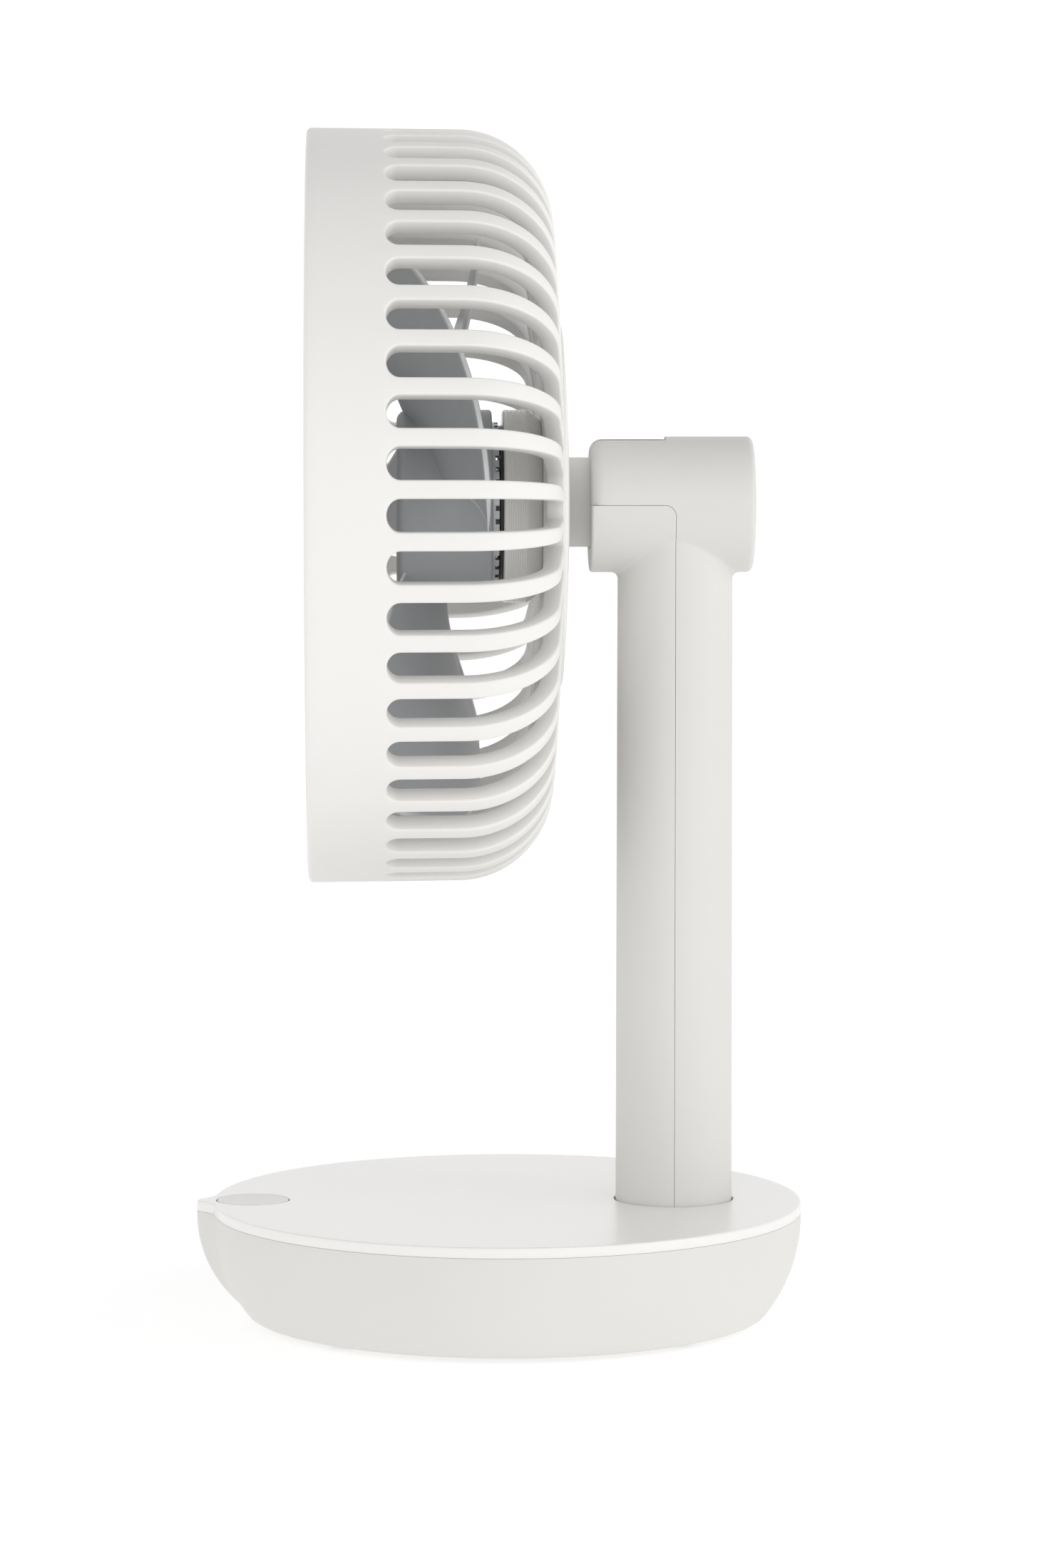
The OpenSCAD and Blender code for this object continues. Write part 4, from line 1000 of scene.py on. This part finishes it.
def pushButton():
    x, r = base["buttonX"], base["button"]
    rows = [(-4.2, 0.01), (-4.2, r - 1.4), (-2.6, r - 1.2), (-2.6, r - 0.1), (-2.4, r), (-0.35, r), (-0.12, r - 0.1),
            (-0.02, r - 0.35), (0, r - 0.55)]
    rows += [(-0.24 * (1 - (q / (r - 0.55)) ** 2), q) for q in (8.4, 7.2, 5.6, 4.0, 2.2, 0.01)]
    piece = lathe("pushButton", rows, 96, "z", (x, 0, place["topPlane"]), closed=False)
    return finishPiece(piece, "button", "button_white", finishes["buttonWhite"], "button_cap")


def footRing():
    look = {"inner": 48.05, "outer": 56.95, "high": 1.75, "groove": 0.25}
    a, b, g = look["inner"], look["outer"], look["groove"]
    outline = [(look["high"], a), (0.4, a), (0.12, a + 0.13), (0, a + 0.5), (0, a + 3.6), (g, a + 3.9), (g, b - 3.9),
               (0, b - 3.6), (0, b - 0.5), (0.12, b - 0.13), (0.4, b), (look["high"], b)]
    piece = lathe("footRing", outline, 128, "z")
    return finishPiece(piece, "base", "foot_rubber", finishes["footRubber"], "foot_ring")


topCover()
bowl()
pushButton()
footRing()
print("base built")


# finishes of the plain inner parts

innerFinish = {
    "base_screws": "screwSteel", "ballast_plate": "castIron", "battery_cradle": "darkPlastic",
    "battery_cells": "cellBlue", "control_board": "boardGreen", "tact_switch": "switchBlack",
    "inlet_socket": "socketSteel", "inlet_board": "boardGreen", "swivel_bush": "acetal", "swivel_motor": "canSteel",
    "swivel_pinion": "acetal", "swivel_gear": "acetal", "gear_screws": "screwSteel", "tilt_pin": "screwSteel",
    "friction_washers": "screwSteel", "head_screws": "screwSteel", "motor_board": "boardBlack",
    "bearings": "bearingSteel", "stator_core": "coreSteel", "stator_windings": "copperWire",
    "rotor_bell": "bellSteel", "magnet_ring": "magnetDark", "motor_shaft": "bearingSteel",
}
for nodeName, finish in innerFinish.items():
    setMaterial(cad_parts[nodeName], finishes[finish])
print("inner parts finished:", len(innerFinish))


# floor, light and camera

def studio():
    light = {"floorTone": 0.6, "floorGlow": 0.54, "top": 0.46, "flat": 1.7, "bend": 0.9, "wall": 2.4, "under": 0.0002}
    flat, bend = light["flat"], light["bend"]
    outline = [(0.0, 0.0), (flat * 0.5, 0.0), (flat, 0.0)]
    outline += [(flat + bend * math.sin(a), bend * (1 - math.cos(a)))
                for a in [math.pi / 2 * k / 12 for k in range(1, 13)]]
    outline.append((flat + bend, light["wall"]))
    steps = 96
    turns = [2 * math.pi * j / steps for j in range(steps)]
    verts = [(r * math.cos(a), r * math.sin(a), z - light["under"]) for r, z in outline for a in turns]
    floor = makeObject("floor", verts, gridFaces(len(outline), steps, wrap=True), 1)
    cleanUp(floor)
    floor.data.flip_normals()
    pale = plastic("floorPale", (light["floorTone"],) * 3,
                   {"roughness": 0.8, "bump": 0.0, "drift": 0.004, "specular": 0.1})
    shader = pale.node_tree.nodes["Principled BSDF"]
    shader.inputs["Emission Color"].default_value = (1, 1, 1, 1)
    shader.inputs["Emission Strength"].default_value = light["floorGlow"]
    setMaterial(floor, pale)
    world = bpy.data.worlds.new("studio")
    scene.world = world
    world.use_nodes = True
    background = world.node_tree.nodes["Background"]
    background.inputs["Color"].default_value = (1, 1, 1, 1)
    background.inputs["Strength"].default_value = light["top"]

    def panel(name, at, aim, size, power):
        data = bpy.data.lights.new(name, "AREA")
        data.shape = "RECTANGLE"
        data.size, data.size_y, data.energy = size[0], size[1], power
        obj = bpy.data.objects.new(name, data)
        scene.collection.objects.link(obj)
        obj.location = at
        obj.rotation_euler = (Vector(aim) - Vector(at)).to_track_quat("-Z", "Y").to_euler()

    panel("frontPanel", (0.35, -1.75, 0.75), (0, 0, 0.15), (1.5, 1.1), 3)
    panel("rightPanel", (1.5, -0.7, 0.7), (0, 0, 0.15), (0.9, 1.4), 4)


def cameraView():
    view = {"at": (-0.03706, -1.34771, 0.24991), "yaw": -0.0307, "pitch": -0.0784, "lens": 115.73}
    data = bpy.data.cameras.new("camera")
    data.sensor_width, data.lens = 36, view["lens"]
    data.clip_start, data.clip_end = 0.01, 50
    camera = bpy.data.objects.new("camera", data)
    scene.collection.objects.link(camera)
    camera.location = view["at"]
    cp = math.cos(view["pitch"])
    direction = Vector((-math.sin(view["yaw"]) * cp, math.cos(view["yaw"]) * cp, math.sin(view["pitch"])))
    camera.rotation_euler = direction.to_track_quat("-Z", "Y").to_euler()
    scene.camera = camera


studio()
cameraView()
scene.view_settings.view_transform = "Standard"
print("light and camera set")
